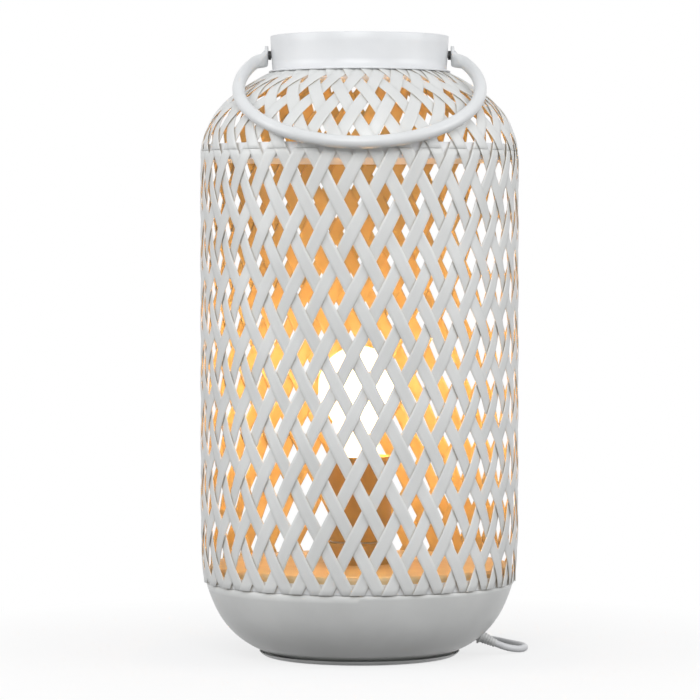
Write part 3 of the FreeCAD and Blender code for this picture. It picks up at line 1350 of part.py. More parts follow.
def make_switch():
    wall = "switch_wall"
    base_body = padded("switch_base_block", switch_outline("0"), "XY_Plane", "switch_base_height")
    base_room = raised(padded("switch_base_room", switch_outline(wall), "XY_Plane",
                              "switch_base_height"), wall)
    cut("switch_base", base_body, [base_room])
    cover_body = raised(padded("switch_cover_block", switch_outline("0"), "XY_Plane",
                               "switch_cover_height"), "switch_base_height")
    cover_room = raised(padded("switch_cover_room", switch_outline(wall), "XY_Plane",
                               "switch_cover_height - switch_wall"), "switch_base_height")
    window_x = "(rocker_radius + rocker_gap)"
    window_y = "(rocker_width / 2 + rocker_gap)"
    window = box("switch_window", "2 * " + window_x, "2 * " + window_y, "20",
                 ("switch_x - " + window_x, "switch_y - " + window_y, "switch_base_height"))
    hollow = cut("switch_cover_shell", cover_body, [cover_room, window])
    cheeks = []
    for index, side in enumerate(("1", "-1")):
        low = "switch_y + %s * (%s + cheek_thickness / 2) - cheek_thickness / 2" % (side, window_y)
        cheeks.append(box("switch_cheek_%d" % index, "cheek_length", "cheek_thickness",
                          "cheek_height",
                          ("switch_x - cheek_length / 2", low,
                           "switch_height - switch_wall - cheek_height")))
    whole = fused("switch_cover_whole", [hollow] + cheeks)
    reach = "(%s + cheek_thickness)" % window_y
    bore = cylinder("switch_bore", "rocker_pin_radius + rocker_pin_fit", "2 * " + reach,
                    ("switch_x", "switch_y + " + reach, "pivot_drop"), (Vector(1, 0, 0), "90"))
    cut("switch_cover", whole, [bore])
    end_high = ("rocker_radius * cos(rocker_end_high)", "rocker_radius * sin(rocker_end_high)")
    end_low = ("rocker_radius * cos(rocker_end_low)", "-rocker_radius * sin(rocker_end_low)")
    block = padded("rocker_block", [
        (end_low[0], end_low[1], "rocker_radius"),
        end_high,
        ("0", "rocker_saddle"),
        ("-(%s)" % end_high[0], end_high[1], "rocker_radius"),
        ("-(%s)" % end_low[0], end_low[1]),
        ("-rocker_radius / 2", end_low[1] + " - 1.2"),
        ("rocker_radius / 2", end_low[1] + " - 1.2"),
    ], "XZ_Plane", "rocker_width", True)
    long = "(rocker_width / 2 + rocker_gap + cheek_thickness - 0.4)"
    pin = cylinder("rocker_pin", "rocker_pin_radius", "2 * " + long, ("0", long, "0"),
                   (Vector(1, 0, 0), "90"))
    rocker = fused("switch_rocker", [block, pin])
    rocker.Placement = FreeCAD.Placement(
        Vector(), FreeCAD.Rotation(Vector(0, 1, 0), -value("rocker_angle")))
    rocker.setExpression(".Placement.Rotation.Angle", bound("rocker_angle"))
    rocker.setExpression(".Placement.Base.x", bound("switch_x"))
    rocker.setExpression(".Placement.Base.y", bound("switch_y"))
    rocker.setExpression(".Placement.Base.z", bound("pivot_drop"))


def make_plug():
    half = "(plug_width / 2)"
    neck = "(plug_neck_width / 2)"
    body = padded("plug_body", [
        ("plug_x", "plug_y - " + neck),
        ("plug_x + plug_neck_length", "plug_y - " + neck),
        ("plug_x + plug_neck_length + plug_shoulder", "plug_y - " + half),
        ("plug_x + plug_length", "plug_y - " + half),
        ("plug_x + plug_length", "plug_y + " + half),
        ("plug_x + plug_neck_length + plug_shoulder", "plug_y + " + half),
        ("plug_x + plug_neck_length", "plug_y + " + neck),
        ("plug_x", "plug_y + " + neck),
    ], "XY_Plane", "plug_height")
    pins = []
    for index, side in enumerate(("1", "-1")):
        pins.append(cylinder("plug_pin_%d" % index, "pin_radius", "pin_length",
                             ("plug_x + plug_length",
                              "plug_y + %s * pin_spacing / 2" % side, "plug_height / 2"),
                             (Vector(0, 1, 0), "90")))
    grouped("plug_pins", pins)
    return body


NODES = [
    "foot_dish", "foot_screws", "foot_nuts", "bowl", "cord_gland", "lower_hoop", "upper_hoop",
    "weave_rising", "weave_falling", "shoulder_rising", "shoulder_falling", "collar", "neck_ring",
    "rivet_right", "rivet_left", "spacer_right", "spacer_left", "handle_bail", "tray", "nipple",
    "nipple_washer", "nipple_nut", "pedestal_cup", "lampholder_body", "holder_sleeve",
    "screw_shell", "centre_contact", "bulb_cap", "bulb_glass", "bulb_stem", "bulb_filaments",
    "inner_lead", "cord_run", "switch_base", "switch_cover", "switch_rocker", "cord_lead",
    "cord_coil", "cord_tie", "cord_tail", "plug_body", "plug_pins",
]


def write_parts():
    """Check every object of the document, then write one file for each finished piece."""
    DOC.recompute()
    for item in DOC.Objects:
        if "Invalid" in item.State or "Error" in item.State:
            raise RuntimeError("%s is %s" % (item.Label, item.State))
    os.makedirs("parts", exist_ok=True)
    for name in NODES:
        shape = DOC.getObjectsByLabel(name)[0].Shape
        if shape.isNull() or not shape.isValid() or not shape.Solids:
            raise RuntimeError("%s has no sound solid" % name)
        shape.exportStep("parts/%s.step" % name)
    print("pieces", len(NODES))


def main():
    fill_sheet()
    make_foot()
    make_bowl()
    make_shell()
    make_collar()
    make_rivets()
    make_handle()
    make_tray()
    make_holder()
    make_bulb()
    make_cord()
    make_switch()
    make_plug()
    write_parts()


main()
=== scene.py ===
import json
import math

import bmesh
import bpy
from mathutils import Matrix, Vector


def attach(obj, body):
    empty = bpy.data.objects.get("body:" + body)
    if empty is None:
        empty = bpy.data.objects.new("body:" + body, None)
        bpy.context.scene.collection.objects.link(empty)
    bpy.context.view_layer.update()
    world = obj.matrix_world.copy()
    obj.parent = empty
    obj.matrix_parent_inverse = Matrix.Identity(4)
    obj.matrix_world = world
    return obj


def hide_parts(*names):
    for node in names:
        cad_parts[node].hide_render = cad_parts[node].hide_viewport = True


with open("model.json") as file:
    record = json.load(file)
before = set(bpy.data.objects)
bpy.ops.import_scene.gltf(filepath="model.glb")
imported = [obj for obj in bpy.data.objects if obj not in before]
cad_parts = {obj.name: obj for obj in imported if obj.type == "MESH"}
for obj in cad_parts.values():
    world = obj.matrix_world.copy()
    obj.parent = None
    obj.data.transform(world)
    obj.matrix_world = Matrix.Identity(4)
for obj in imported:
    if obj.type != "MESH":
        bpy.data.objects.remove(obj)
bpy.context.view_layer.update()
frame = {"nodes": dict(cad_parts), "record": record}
nodes = frame["nodes"]

# Lantern table lamp in woven white steel. Metres, +Z up, front towards -Y.


# ---- camera ----

lens_height = 0.3048
lens_distance = 2.521
lens_length = 178.46
lens_dip = 1.88
lens_swing = 0.157

camera_data = bpy.data.cameras.new("camera")
camera_data.sensor_width = 36.0
camera_data.lens = lens_length
camera = bpy.data.objects.new("camera", camera_data)
bpy.context.scene.collection.objects.link(camera)
camera.location = (0.0, -lens_distance, lens_height)
camera.rotation_euler = (math.radians(90.0 - lens_dip), 0.0, math.radians(lens_swing))
bpy.context.scene.camera = camera


# ---- finishes ----

def finish(name, colour, rough, metal=0.0):
    """New finish, with its node tree and its shader."""
    material = bpy.data.materials.new(name)
    material.use_nodes = True
    tree = material.node_tree
    shader = tree.nodes["Principled BSDF"]
    shader.inputs["Base Color"].default_value = (*colour, 1.0)
    shader.inputs["Roughness"].default_value = rough
    shader.inputs["Metallic"].default_value = metal
    return material, tree, shader


def place_on_lamp(tree):
    """Place on the lamp, which every pattern reads."""
    coordinate = tree.nodes.new("ShaderNodeTexCoord")
    return coordinate.outputs["Object"]


def grain(tree, place, scale, detail=3.0):
    noise = tree.nodes.new("ShaderNodeTexNoise")
    noise.inputs["Scale"].default_value = scale
    noise.inputs["Detail"].default_value = detail
    tree.links.new(place, noise.inputs["Vector"])
    return noise.outputs["Fac"]


def tinted(tree, shader, factor, dark, light, low=0.35, high=0.65):
    """Colour that wanders between two shades."""
    ramp = tree.nodes.new("ShaderNodeValToRGB")
    ramp.color_ramp.elements[0].position = low
    ramp.color_ramp.elements[0].color = (*dark, 1.0)
    ramp.color_ramp.elements[1].position = high
    ramp.color_ramp.elements[1].color = (*light, 1.0)
    tree.links.new(factor, ramp.inputs["Fac"])
    tree.links.new(ramp.outputs["Color"], shader.inputs["Base Color"])


def roughened(tree, shader, factor, low, high):
    """Gloss that varies over the surface."""
    spread = tree.nodes.new("ShaderNodeMapRange")
    spread.inputs["To Min"].default_value = low
    spread.inputs["To Max"].default_value = high
    tree.links.new(factor, spread.inputs["Value"])
    tree.links.new(spread.outputs["Result"], shader.inputs["Roughness"])


def bumped(tree, shader, factor, depth, strength):
    """Fine relief of a skin, with its depth in metres."""
    bump = tree.nodes.new("ShaderNodeBump")
    bump.inputs["Distance"].default_value = depth
    bump.inputs["Strength"].default_value = strength
    tree.links.new(factor, bump.inputs["Height"])
    tree.links.new(bump.outputs["Normal"], shader.inputs["Normal"])


def powder_coat(name, dark, light, rough=0.36):
    """Satin powder coat or lacquer: faint orange peel, faint clouding, uneven sheen."""
    material, tree, shader = finish(name, light, rough)
    place = place_on_lamp(tree)
    tinted(tree, shader, grain(tree, place, scale=22.0), dark, light)
    roughened(tree, shader, grain(tree, place, scale=60.0), rough - 0.06, rough + 0.08)
    bumped(tree, shader, grain(tree, place, scale=900.0, detail=2.0), depth=0.00004, strength=0.6)
    return material


def moulded(name, dark, light, rough=0.32):
    """Moulded plastic with a fine spark-eroded skin."""
    material, tree, shader = finish(name, light, rough)
    place = place_on_lamp(tree)
    tinted(tree, shader, grain(tree, place, scale=40.0), dark, light)
    roughened(tree, shader, grain(tree, place, scale=150.0), rough - 0.05, rough + 0.07)
    bumped(tree, shader, grain(tree, place, scale=2600.0, detail=2.0), depth=0.00002, strength=0.5)
    return material


def bare_metal(name, dark, light, rough):
    """Bare or plated metal with fine marks from its making."""
    material, tree, shader = finish(name, light, rough, metal=1.0)
    place = place_on_lamp(tree)
    tinted(tree, shader, grain(tree, place, scale=70.0), dark, light)
    roughened(tree, shader, grain(tree, place, scale=420.0), rough - 0.08, rough + 0.12)
    bumped(tree, shader, grain(tree, place, scale=1500.0), depth=0.00002, strength=0.5)
    return material


def lit_glass(name, colour, glow, strength, alpha=1.0):
    """Finish of a piece that the lamp's light comes out of."""
    material, tree, shader = finish(name, colour, rough=0.08)
    shader.inputs["Emission Color"].default_value = (*glow, 1.0)
    shader.inputs["Emission Strength"].default_value = strength
    shader.inputs["Alpha"].default_value = alpha
    place = place_on_lamp(tree)
    dimmer = tuple(0.94 * channel for channel in colour)
    tinted(tree, shader, grain(tree, place, scale=30.0), dimmer, colour)
    return material


def soft_sheath(name, dark, light, rough=0.42):
    """Soft white cord sheath with slight drawing marks."""
    material, tree, shader = finish(name, light, rough)
    place = place_on_lamp(tree)
    tinted(tree, shader, grain(tree, place, scale=35.0), dark, light)
    roughened(tree, shader, grain(tree, place, scale=220.0), rough - 0.06, rough + 0.08)
    bumped(tree, shader, grain(tree, place, scale=1800.0), depth=0.00003, strength=0.5)
    return material


white_dark = (0.70, 0.705, 0.69)
white_light = (0.77, 0.775, 0.76)
# Handle and rivets: the same white paint as the weave, made lighter here as painted light.
painted_lit_tube_dark = (0.74, 0.75, 0.75)
painted_lit_tube_light = (0.80, 0.81, 0.81)
finishes = {
    "foot": powder_coat("foot coat", white_dark, white_light),
    "bowl": powder_coat("bowl coat", white_dark, white_light, 0.34),
    # Collar and hoops: the same white paint as the weave, made lighter and cooler here as painted
    # light.
    "frame": powder_coat("collar coat painted lighter", (0.76, 0.77, 0.78), (0.82, 0.83, 0.84), 0.34),
    "weave": powder_coat("strip coat", white_dark, white_light),
    # Handle: painted light, lighter than the weave's same white paint.
    "handle": powder_coat("handle coat painted lighter", painted_lit_tube_dark, painted_lit_tube_light, 0.33),
    # Tray: gold, partly a gold inner coat and partly painted warm bulb light.
    "tray": powder_coat("tray gold with painted glow", (0.58, 0.46, 0.26), (0.66, 0.54, 0.32), 0.42),
    # Pedestal: dark gold-brown, partly a gold inner coat and partly painted shade and warm bulb
    # light.
    "cup": powder_coat("pedestal painted shade and glow", (0.40, 0.27, 0.10), (0.50, 0.35, 0.14), 0.42),
    # Rivets: painted light, lighter than the weave's same white paint.
    "rivet": powder_coat("rivet coat painted lighter", painted_lit_tube_dark, painted_lit_tube_light, 0.3),
    "zinc": bare_metal("zinc plate", (0.48, 0.49, 0.50), (0.60, 0.61, 0.62), 0.34),
    "bush": moulded("cord bush", (0.70, 0.70, 0.69), (0.78, 0.78, 0.77)),
    "spacer": moulded("black washer", (0.012, 0.012, 0.012), (0.03, 0.03, 0.03), 0.5),
    "holder": moulded("lamp holder moulding", (0.66, 0.65, 0.62), (0.74, 0.73, 0.70), 0.28),
    "brass": bare_metal("bare brass", (0.58, 0.42, 0.18), (0.72, 0.55, 0.28), 0.28),
    "bulb_cap": bare_metal("screw cap", (0.60, 0.60, 0.58), (0.74, 0.74, 0.72), 0.26),
    "bulb_glass": lit_glass("lit glass", (1.0, 0.93, 0.82), (1.0, 0.72, 0.42), 1.6, 0.35),
    "bulb_stem": lit_glass("glass stem", (0.9, 0.9, 0.88), (1.0, 0.7, 0.4), 0.8, 0.5),
    "filament": lit_glass("lit strips", (1.0, 0.8, 0.5), (1.0, 0.66, 0.32), 26.0),
    "cord": soft_sheath("cord sheath", (0.70, 0.70, 0.71), (0.78, 0.78, 0.79)),
    "switch": moulded("switch moulding", (0.72, 0.72, 0.71), (0.79, 0.79, 0.78), 0.26),
    "tie": moulded("soft strap", (0.62, 0.62, 0.62), (0.70, 0.70, 0.70), 0.55),
    "plug": moulded("plug moulding", (0.70, 0.70, 0.70), (0.77, 0.77, 0.77), 0.3),
    "pins": bare_metal("plated pins", (0.62, 0.58, 0.48), (0.78, 0.74, 0.62), 0.2),
}
# Gold for the inner faces: partly a gold inner coat, partly painted warm glow of the bulb on them.
inside_gold_and_painted_glow = powder_coat("gold inside with painted glow", (0.55, 0.40, 0.17), (0.67, 0.51, 0.24))
node_slot = {part["node"]: part["material_slot"] for part in frame["record"]["subparts"]}


# ---- setting pieces down ----

moving_body = {"handle_bail": "handle", "switch_rocker": "rocker"}


def set_down(name, mesh, node, smooth_angle):
    """Finished piece for a node, with its finish, slot and body."""
    piece = bpy.data.objects.new(name, mesh)
    bpy.context.scene.collection.objects.link(piece)
    mesh.materials.clear()
    mesh.materials.append(finishes[node_slot[node]])
    bpy.ops.object.select_all(action="DESELECT")
    piece.select_set(True)
    bpy.context.view_layer.objects.active = piece
    bpy.ops.object.shade_smooth_by_angle(angle=math.radians(smooth_angle))
    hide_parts(node)
    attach(piece, moving_body.get(node, "lamp"))
    return piece


joining_distance = 0.000002
flat_angle = 1.0
crease_angle = 30.0
rounded_angle = 35.0


def carried(node, edge_round=0.0):
    """Copy of a node's mesh with its loose triangles joined and, if asked, its edges rounded."""
    source = nodes[node]
    form = bmesh.new()
    form.from_mesh(source.data)
    form.transform(source.matrix_world)
    bmesh.ops.remove_doubles(form, verts=form.verts, dist=joining_distance)
    if edge_round:
        bmesh.ops.dissolve_limit(form, angle_limit=math.radians(flat_angle), verts=form.verts,
                                 edges=form.edges)
    mesh = bpy.data.meshes.new(node + "_skin")
    form.to_mesh(mesh)
    form.free()
    piece = set_down(node + "_skin", mesh, node, crease_angle)
    if edge_round:
        edge = piece.modifiers.new("edge", "BEVEL")
        edge.width = edge_round
        edge.segments = 3
        edge.angle_limit = math.radians(rounded_angle)
        edge.harden_normals = False
        bpy.ops.object.modifier_apply(modifier="edge")
        bpy.ops.object.shade_smooth_by_angle(angle=math.radians(crease_angle))
    return piece


# ---- cords ----

cord_thickness = 0.005


def free_cord(name, points):
    """Round cord on one smooth open curve."""
    data = bpy.data.curves.new(name, "CURVE")
    data.dimensions = "3D"
    data.bevel_depth = cord_thickness / 2
    data.bevel_resolution = 4
    data.resolution_u = 6
    data.use_fill_caps = True
    spline = data.splines.new("NURBS")
    spline.points.add(len(points) - 1)
    for point, place in zip(spline.points, points):
        point.co = (*place, 1.0)
    spline.order_u = 3
    spline.use_endpoint_u = True
    data.materials.append(finishes["cord"])
    piece = bpy.data.objects.new(name, data)
    bpy.context.scene.collection.objects.link(piece)
    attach(piece, "lamp")
    return piece


# Bush to switch: down from the bush, then along the floor and round behind the bowl.
run_points = [
    (0.09196, 0.0, 0.01161), (0.10365, 0.0, 0.00591), (0.1153, 0.0067, 0.003),
    (0.1221, 0.0195, 0.0025), (0.1210, 0.0350, 0.0025), (0.1120, 0.0506, 0.0025),
    (0.1028, 0.0695, 0.0025), (0.0916, 0.0861, 0.0025), (0.0785, 0.0995, 0.0030),
    (0.0645, 0.1060, 0.0066), (0.0505, 0.1060, 0.0072)]
# Switch to coil, and coil to plug.
lead_points = [(-0.0075, 0.106, 0.0072), (-0.0155, 0.106, 0.0062), (-0.0275, 0.106, 0.0038)]
tail_points = [(-0.025, 0.1872, 0.0083), (-0.008, 0.1855, 0.0036), (0.009, 0.1775, 0.0025),
               (0.024, 0.1695, 0.0048), (0.0405, 0.167, 0.00685)]

coil_middle = Vector((-0.045, 0.146625))
coil_floor = 0.0036
coil_turns = 3.5
coil_climb = 0.5
coil_inner = 0.020
coil_pitch = 0.0055
turn_points = 20


def coil_points():
    """Two flat layers: inwards on the floor, up within half a turn, then outwards on top."""
    # The smooth curve runs inside its points by this share of the radius.
    curve_share = 0.75 + 0.25 * math.cos(2 * math.pi / turn_points)
    count = int((2 * coil_turns + coil_climb) * turn_points)
    points = []
    for index in range(count + 1):
        turns = index / turn_points
        from_middle = abs(turns - coil_turns - coil_climb / 2)
        radius = (coil_inner + coil_pitch * from_middle) / curve_share
        climbed = min(max((turns - coil_turns) / coil_climb, 0.0), 1.0)
        level = coil_floor + coil_pitch * climbed * climbed * (3 - 2 * climbed)
        angle = -math.pi / 2 - 2 * math.pi * turns
        points.append((coil_middle.x + radius * math.cos(angle),
                       coil_middle.y + radius * math.sin(angle), level))
    return points


cord_run = free_cord("cord_to_switch", run_points)
cord_rest = free_cord("cord_to_plug", lead_points + coil_points() + tail_points)
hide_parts("cord_run")
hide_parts("cord_lead", "cord_coil", "cord_tail")


# ---- line of the weave ----

# From the bowl's seam the weave bulges out to a straight wall, then closes over a tight corner
# and a flatter dome to the collar.
weave_radius = 0.1146
bulge_rise = 0.0455
bulge_out = 0.002
bulge_arc = (bulge_rise ** 2 + bulge_out ** 2) / (2 * bulge_out)
bulge_length = bulge_arc * math.asin(bulge_rise / bulge_arc)
wall_foot = 0.100
wall_length = 0.260
wall_top = wall_foot + wall_length
corner_arc = 0.057
corner_turn = math.radians(51.3)
dome_arc = 0.139


def on_arc(middle, level, arc, angle):
    """Radius, height and outward normal at an angle of an arc."""
    return (middle + arc * math.cos(angle), level + arc * math.sin(angle),
            math.cos(angle), math.sin(angle))


def weave_line(along):
    """Radius, height and outward normal of the weave's middle, by length from the bowl's seam."""
    past_bulge = along - bulge_length
    if past_bulge < 0.0:
        return on_arc(weave_radius - bulge_arc, wall_foot, bulge_arc, past_bulge / bulge_arc)
    if past_bulge < wall_length:
        return weave_radius, wall_foot + past_bulge, 1.0, 0.0
    past_wall = past_bulge - wall_length
    corner_middle = weave_radius - corner_arc
    if past_wall < corner_arc * corner_turn:
        return on_arc(corner_middle, wall_top, corner_arc, past_wall / corner_arc)
    past_corner = past_wall - corner_arc * corner_turn
    shift = corner_arc - dome_arc
    return on_arc(corner_middle + shift * math.cos(corner_turn),
                  wall_top + shift * math.sin(corner_turn),
                  dome_arc, corner_turn + past_corner / dome_arc)


# ---- rows of crossings ----

seam_at = 0.31157
seam_gap = 0.0001
collar_at = 0.39201
body_first_row = 0.0162
body_row_pitch = 0.02162
body_rows = 15
shoulder_first_row = 0.31816
shoulder_row_pitch = 0.0196
shoulder_rows = 6
rows = [body_first_row + body_row_pitch * (index - 1) for index in range(body_rows)]
rows += [shoulder_first_row + shoulder_row_pitch * index for index in range(shoulder_rows)]


def row_below(along):
    return sum(1 for row in rows[1:-1] if row < along)


def row_height(along):
    """Length to the next row, from the one below."""
    index = row_below(along)
    return rows[index + 1] - rows[index]


def row_count(along):
    """Rows passed, with the share of the next."""
    index = row_below(along)
    return index + (along - rows[index]) / row_height(along)


# ---- woven strips ----

strip_count = 32
half_step = math.pi / strip_count
strip_width = 0.009
strip_sheet = 0.0006
strip_lift = 0.0007
strip_edge = 0.00014
strip_edge_angle = 50.0
strip_smooth_angle = 52.0
strip_columns = 4
body_steps = 5
shoulder_steps = 7
first_azimuth = math.radians(3.3)
facing_inwards = -0.5


def strip_form(slant, start, end, row_steps):
    """One flat strip that waves over and under, as a sheet without thickness."""
    steps = int(round((row_count(end) - row_count(start)) * row_steps))
    form = bmesh.new()
    lines = []
    for step in range(steps + 1):
        along = start + (end - start) * step / steps
        passed = row_count(along)
        radius, level, out, up = weave_line(along)
        lean = math.atan(half_step / row_height(along) * radius)
        half_width = strip_width / 2 / (radius * math.cos(lean))
        line = []
        for column in range(strip_columns + 1):
            offset = half_width * (2 * column / strip_columns - 1)
            crossed = passed + slant * offset / half_step / 2
            lift = slant * strip_lift * math.cos(math.pi * crossed)
            azimuth = slant * half_step * (passed - 1) + offset + first_azimuth
            reach = radius + lift * out
            line.append(form.verts.new((reach * math.sin(azimuth), -reach * math.cos(azimuth),
                                        level + lift * up)))
        lines.append(line)
    for low, high in zip(lines, lines[1:]):
        for column in range(strip_columns):
            form.faces.new((low[column], low[column + 1], high[column + 1], high[column]))
    mesh = bpy.data.meshes.new("strip")
    form.to_mesh(mesh)
    form.free()
    return mesh


def finished_strip(slant, start, end, row_steps):
    """One strip with its sheet's thickness and broken edges."""
    strip = bpy.data.objects.new("strip", strip_form(slant, start, end, row_steps))
    bpy.context.scene.collection.objects.link(strip)
    bpy.ops.object.select_all(action="DESELECT")
    strip.select_set(True)
    bpy.context.view_layer.objects.active = strip
    wall = strip.modifiers.new("wall", "SOLIDIFY")
    wall.thickness = strip_sheet
    wall.offset = 0.0
    bpy.ops.object.modifier_apply(modifier="wall")
    edge = strip.modifiers.new("edge", "BEVEL")
    edge.width = strip_edge
    edge.segments = 1
    edge.angle_limit = math.radians(strip_edge_angle)
    bpy.ops.object.modifier_apply(modifier="edge")
    return strip


def gold_and_painted_glow_inside(mesh):
    """Gold on the faces that look into the shell, partly a gold inner coat and partly painted warm
    glow of the bulb.
    """
    mesh.materials.append(inside_gold_and_painted_glow)
    for face in mesh.polygons:
        outward = face.center.copy()
        outward.z = max(face.center.z - wall_top, 0.0)
        if face.normal.dot(outward.normalized()) < facing_inwards:
            face.material_index = 1


def woven_set(node, slant, start, end, row_steps):
    """All strips of one slant as one piece."""
    strip = finished_strip(slant, start, end, row_steps)
    count = len(strip.data.vertices)
    form = bmesh.new()
    for index in range(strip_count):
        form.from_mesh(strip.data)
        form.verts.ensure_lookup_table()
        bmesh.ops.rotate(form, verts=form.verts[len(form.verts) - count:], cent=(0, 0, 0),
                         matrix=Matrix.Rotation(2 * math.pi * index / strip_count, 3, "Z"))
    mesh = bpy.data.meshes.new(node + "_strips")
    form.to_mesh(mesh)
    form.free()
    bpy.data.objects.remove(strip)
    set_down(node + "_strips", mesh, node, strip_smooth_angle)
    gold_and_painted_glow_inside(mesh)


woven_set("weave_rising", 1, 0.0, seam_at - seam_gap, body_steps)
woven_set("weave_falling", -1, 0.0, seam_at - seam_gap, body_steps)
woven_set("shoulder_rising", 1, seam_at + seam_gap, collar_at, shoulder_steps)
woven_set("shoulder_falling", -1, seam_at + seam_gap, collar_at, shoulder_steps)


# ---- strain relief ----

bush_foot = (0.08747, 0.0, 0.0138)
bush_heading = (0.8988, 0.0, -0.4384)
bush_sides = 48
shank_length = 0.0100
shank_radius = 0.0042
shank_round = 0.0002
shank_gap = 0.0001
flange_thickness = 0.0014
flange_radius = 0.0058
flange_round = 0.0003
neck_radius = 0.0044
groove_count = 5
groove_start = 0.0026
groove_pitch = 0.0020
groove_taper = 0.00028
groove_cut = [(0.0, 0.0001), (0.0002, 0.0005), (0.0009, 0.0006), (0.0011, 0.0002)]
nose_reach = 0.0130
nose_radius = 0.0027
nose_round = 0.0003


def bush_stations():
    """Distances and radii along the bush: shank in the wall, flange, ribbed taper, nose."""
    shank = [(-shank_length, shank_radius - shank_round),
             (-shank_length + shank_round, shank_radius), (-shank_gap, shank_radius)]
    flange = [(0.0, flange_radius - flange_round), (flange_round, flange_radius),
              (flange_thickness - flange_round, flange_radius),
              (flange_thickness, flange_radius - flange_round)]
    taper = [(flange_thickness + shank_round, neck_radius)]
    for groove in range(groove_count):
        start = groove_start + groove_pitch * groove
        radius = neck_radius - groove_taper * groove
        taper += [(start + past, radius - depth) for past, depth in groove_cut]
    nose = [(nose_reach - nose_round, nose_radius + nose_round), (nose_reach, nose_radius)]
    return shank + flange + taper + nose


def drawn_bush(node, stations, foot, heading):
    """Bush drawn out of one ring, station by station, then laid along its axis."""
    bpy.ops.object.select_all(action="DESELECT")
    at, wide = stations[0]
    bpy.ops.mesh.primitive_circle_add(vertices=bush_sides, radius=wide, fill_type="NGON",
                                      location=(0.0, 0.0, at))
    blank = bpy.context.active_object
    bpy.ops.object.mode_set(mode="EDIT")
    bpy.ops.mesh.select_all(action="SELECT")
    for reach, radius in stations[1:]:
        bpy.ops.mesh.extrude_region_move(TRANSFORM_OT_translate={"value": (0.0, 0.0, reach - at)})
        bpy.ops.transform.resize(value=(radius / wide, radius / wide, 1.0),
                                 center_override=(0.0, 0.0, reach))
        at, wide = reach, radius
    bpy.ops.mesh.select_all(action="SELECT")
    bpy.ops.mesh.normals_make_consistent(inside=False)
    bpy.ops.object.mode_set(mode="OBJECT")
    bpy.ops.object.transform_apply(location=True, rotation=True, scale=True)
    blank.rotation_euler = Vector(heading).to_track_quat("Z", "Y").to_euler()
    blank.location = foot
    bpy.ops.object.transform_apply(location=True, rotation=True, scale=True)
    mesh = blank.data
    bpy.data.objects.remove(blank)
    return set_down(node + "_relief", mesh, node, rounded_angle)


cord_relief = drawn_bush("cord_gland", bush_stations(), bush_foot, bush_heading)


# ---- the other pieces ----

replaced = {"cord_gland", "weave_rising", "weave_falling", "shoulder_rising", "shoulder_falling",
            "cord_run", "cord_lead", "cord_coil", "cord_tail"}
edge_rounds = {"switch_base": 0.0007, "switch_cover": 0.0007, "switch_rocker": 0.0004,
               "plug_body": 0.0024, "plug_pins": 0.0007, "cord_tie": 0.0002}
for node in node_slot:
    if node not in replaced:
        carried(node, edge_rounds.get(node, 0.0))


# ---- light, floor and backdrop ----

lamp_middle = Vector((0.0, 0.0, 0.25))
bulb_middle = Vector((0.0, 0.0, 0.193))
bulb_warmth = (1.0, 0.60, 0.25)


def placed_light(name, kind, place, power):
    light = bpy.data.objects.new(name, bpy.data.lights.new(name, kind))
    bpy.context.scene.collection.objects.link(light)
    light.data.energy = power
    light.location = place
    return light


def bulb_light(power, radius):
    """Warm light from the bulb's strips."""
    light = placed_light("bulb light", "POINT", bulb_middle, power)
    light.data.color = bulb_warmth
    light.data.shadow_soft_size = radius


def softbox(name, place, power, side):
    """Square white softbox that faces the lamp."""
    light = placed_light(name, "AREA", place, power)
    light.data.shape = "RECTANGLE"
    light.data.size = side
    light.data.size_y = side
    light.rotation_euler = (lamp_middle - Vector(place)).to_track_quat("-Z", "Y").to_euler()


def seen_directly(tree):
    """One where a ray comes from the camera, a gloss or a glass."""
    path = tree.nodes.new("ShaderNodeLightPath")
    camera_or_gloss = tree.nodes.new("ShaderNodeMath")
    camera_or_gloss.operation = "MAXIMUM"
    tree.links.new(path.outputs["Is Camera Ray"], camera_or_gloss.inputs[0])
    tree.links.new(path.outputs["Is Glossy Ray"], camera_or_gloss.inputs[1])
    or_glass = tree.nodes.new("ShaderNodeMath")
    or_glass.operation = "MAXIMUM"
    tree.links.new(camera_or_gloss.outputs[0], or_glass.inputs[0])
    tree.links.new(path.outputs["Is Transmission Ray"], or_glass.inputs[1])
    return or_glass.outputs[0]


def mixed(tree, share, first, second):
    mix = tree.nodes.new("ShaderNodeMixShader")
    tree.links.new(share, mix.inputs["Fac"])
    tree.links.new(first, mix.inputs[1])
    tree.links.new(second, mix.inputs[2])
    return mix.outputs[0]


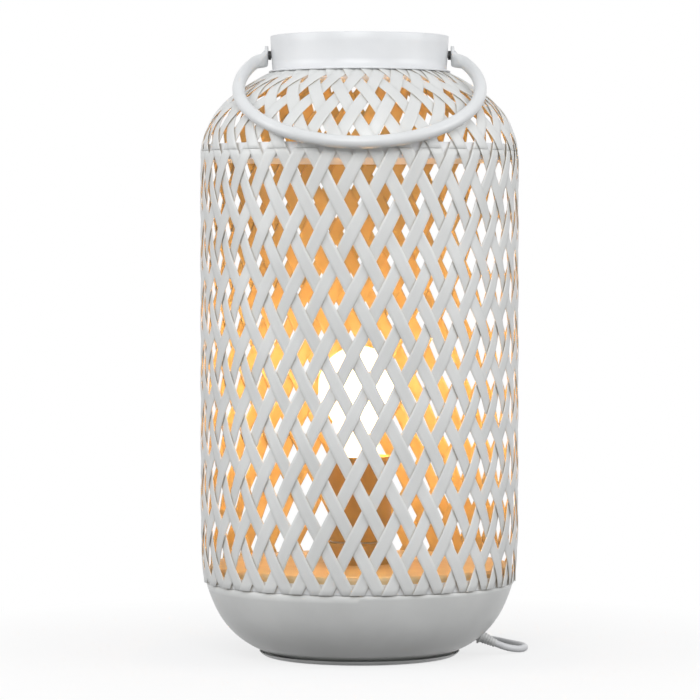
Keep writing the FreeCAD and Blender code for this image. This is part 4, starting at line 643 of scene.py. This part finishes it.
def studio_backdrop():
    """White where it is seen, and a weak cool light on the lamp."""
    world = bpy.data.worlds.new("studio")
    bpy.context.scene.world = world
    world.use_nodes = True
    tree = world.node_tree
    ambient = tree.nodes["Background"]
    ambient.inputs["Color"].default_value = (0.92, 0.95, 1.0, 1.0)
    ambient.inputs["Strength"].default_value = 0.40
    backdrop = tree.nodes.new("ShaderNodeBackground")
    backdrop.inputs["Color"].default_value = (1.0, 1.0, 1.0, 1.0)
    backdrop.inputs["Strength"].default_value = 1.0
    both = mixed(tree, seen_directly(tree), ambient.outputs[0], backdrop.outputs[0])
    tree.links.new(both, tree.nodes["World Output"].inputs["Surface"])


shadow_reach = 0.12
shadow_end = 0.42
shadow_least_glow = 0.75


def studio_floor():
    """Pale floor that keeps the lamp's shadow near it and fades to white."""
    bpy.ops.object.select_all(action="DESELECT")
    bpy.ops.mesh.primitive_plane_add(size=12.0, location=(0, 0, 0))
    floor = bpy.context.active_object
    floor.name = "floor"
    floor_finish, tree, shader = finish("floor", (0.16, 0.16, 0.16), rough=0.9)
    glow = tree.nodes.new("ShaderNodeEmission")
    glow.inputs["Strength"].default_value = 1.0
    pale = tree.nodes.new("ShaderNodeBsdfDiffuse")
    pale.inputs["Color"].default_value = (0.9, 0.9, 0.9, 1.0)
    distance = tree.nodes.new("ShaderNodeVectorMath")
    distance.operation = "LENGTH"
    tree.links.new(place_on_lamp(tree), distance.inputs[0])
    fade = tree.nodes.new("ShaderNodeMapRange")
    fade.inputs["From Min"].default_value = shadow_reach
    fade.inputs["From Max"].default_value = shadow_end
    fade.inputs["To Min"].default_value = shadow_least_glow
    fade.inputs["To Max"].default_value = 1.0
    tree.links.new(distance.outputs["Value"], fade.inputs["Value"])
    near = mixed(tree, fade.outputs["Result"], pale.outputs[0], glow.outputs[0])
    whole = mixed(tree, seen_directly(tree), shader.outputs[0], near)
    tree.links.new(whole, tree.nodes["Material Output"].inputs["Surface"])
    floor.data.materials.append(floor_finish)


bulb_light(0.90, 0.012)
softbox("front softbox", (-0.15, -1.95, 1.3), 22.0, 1.2)
softbox("left softbox", (-1.6, -0.5, 0.9), 10.0, 1.0)
softbox("right softbox", (1.6, -0.6, 0.9), 11.5, 1.0)
studio_backdrop()
studio_floor()
bpy.context.scene.view_settings.view_transform = "Standard"
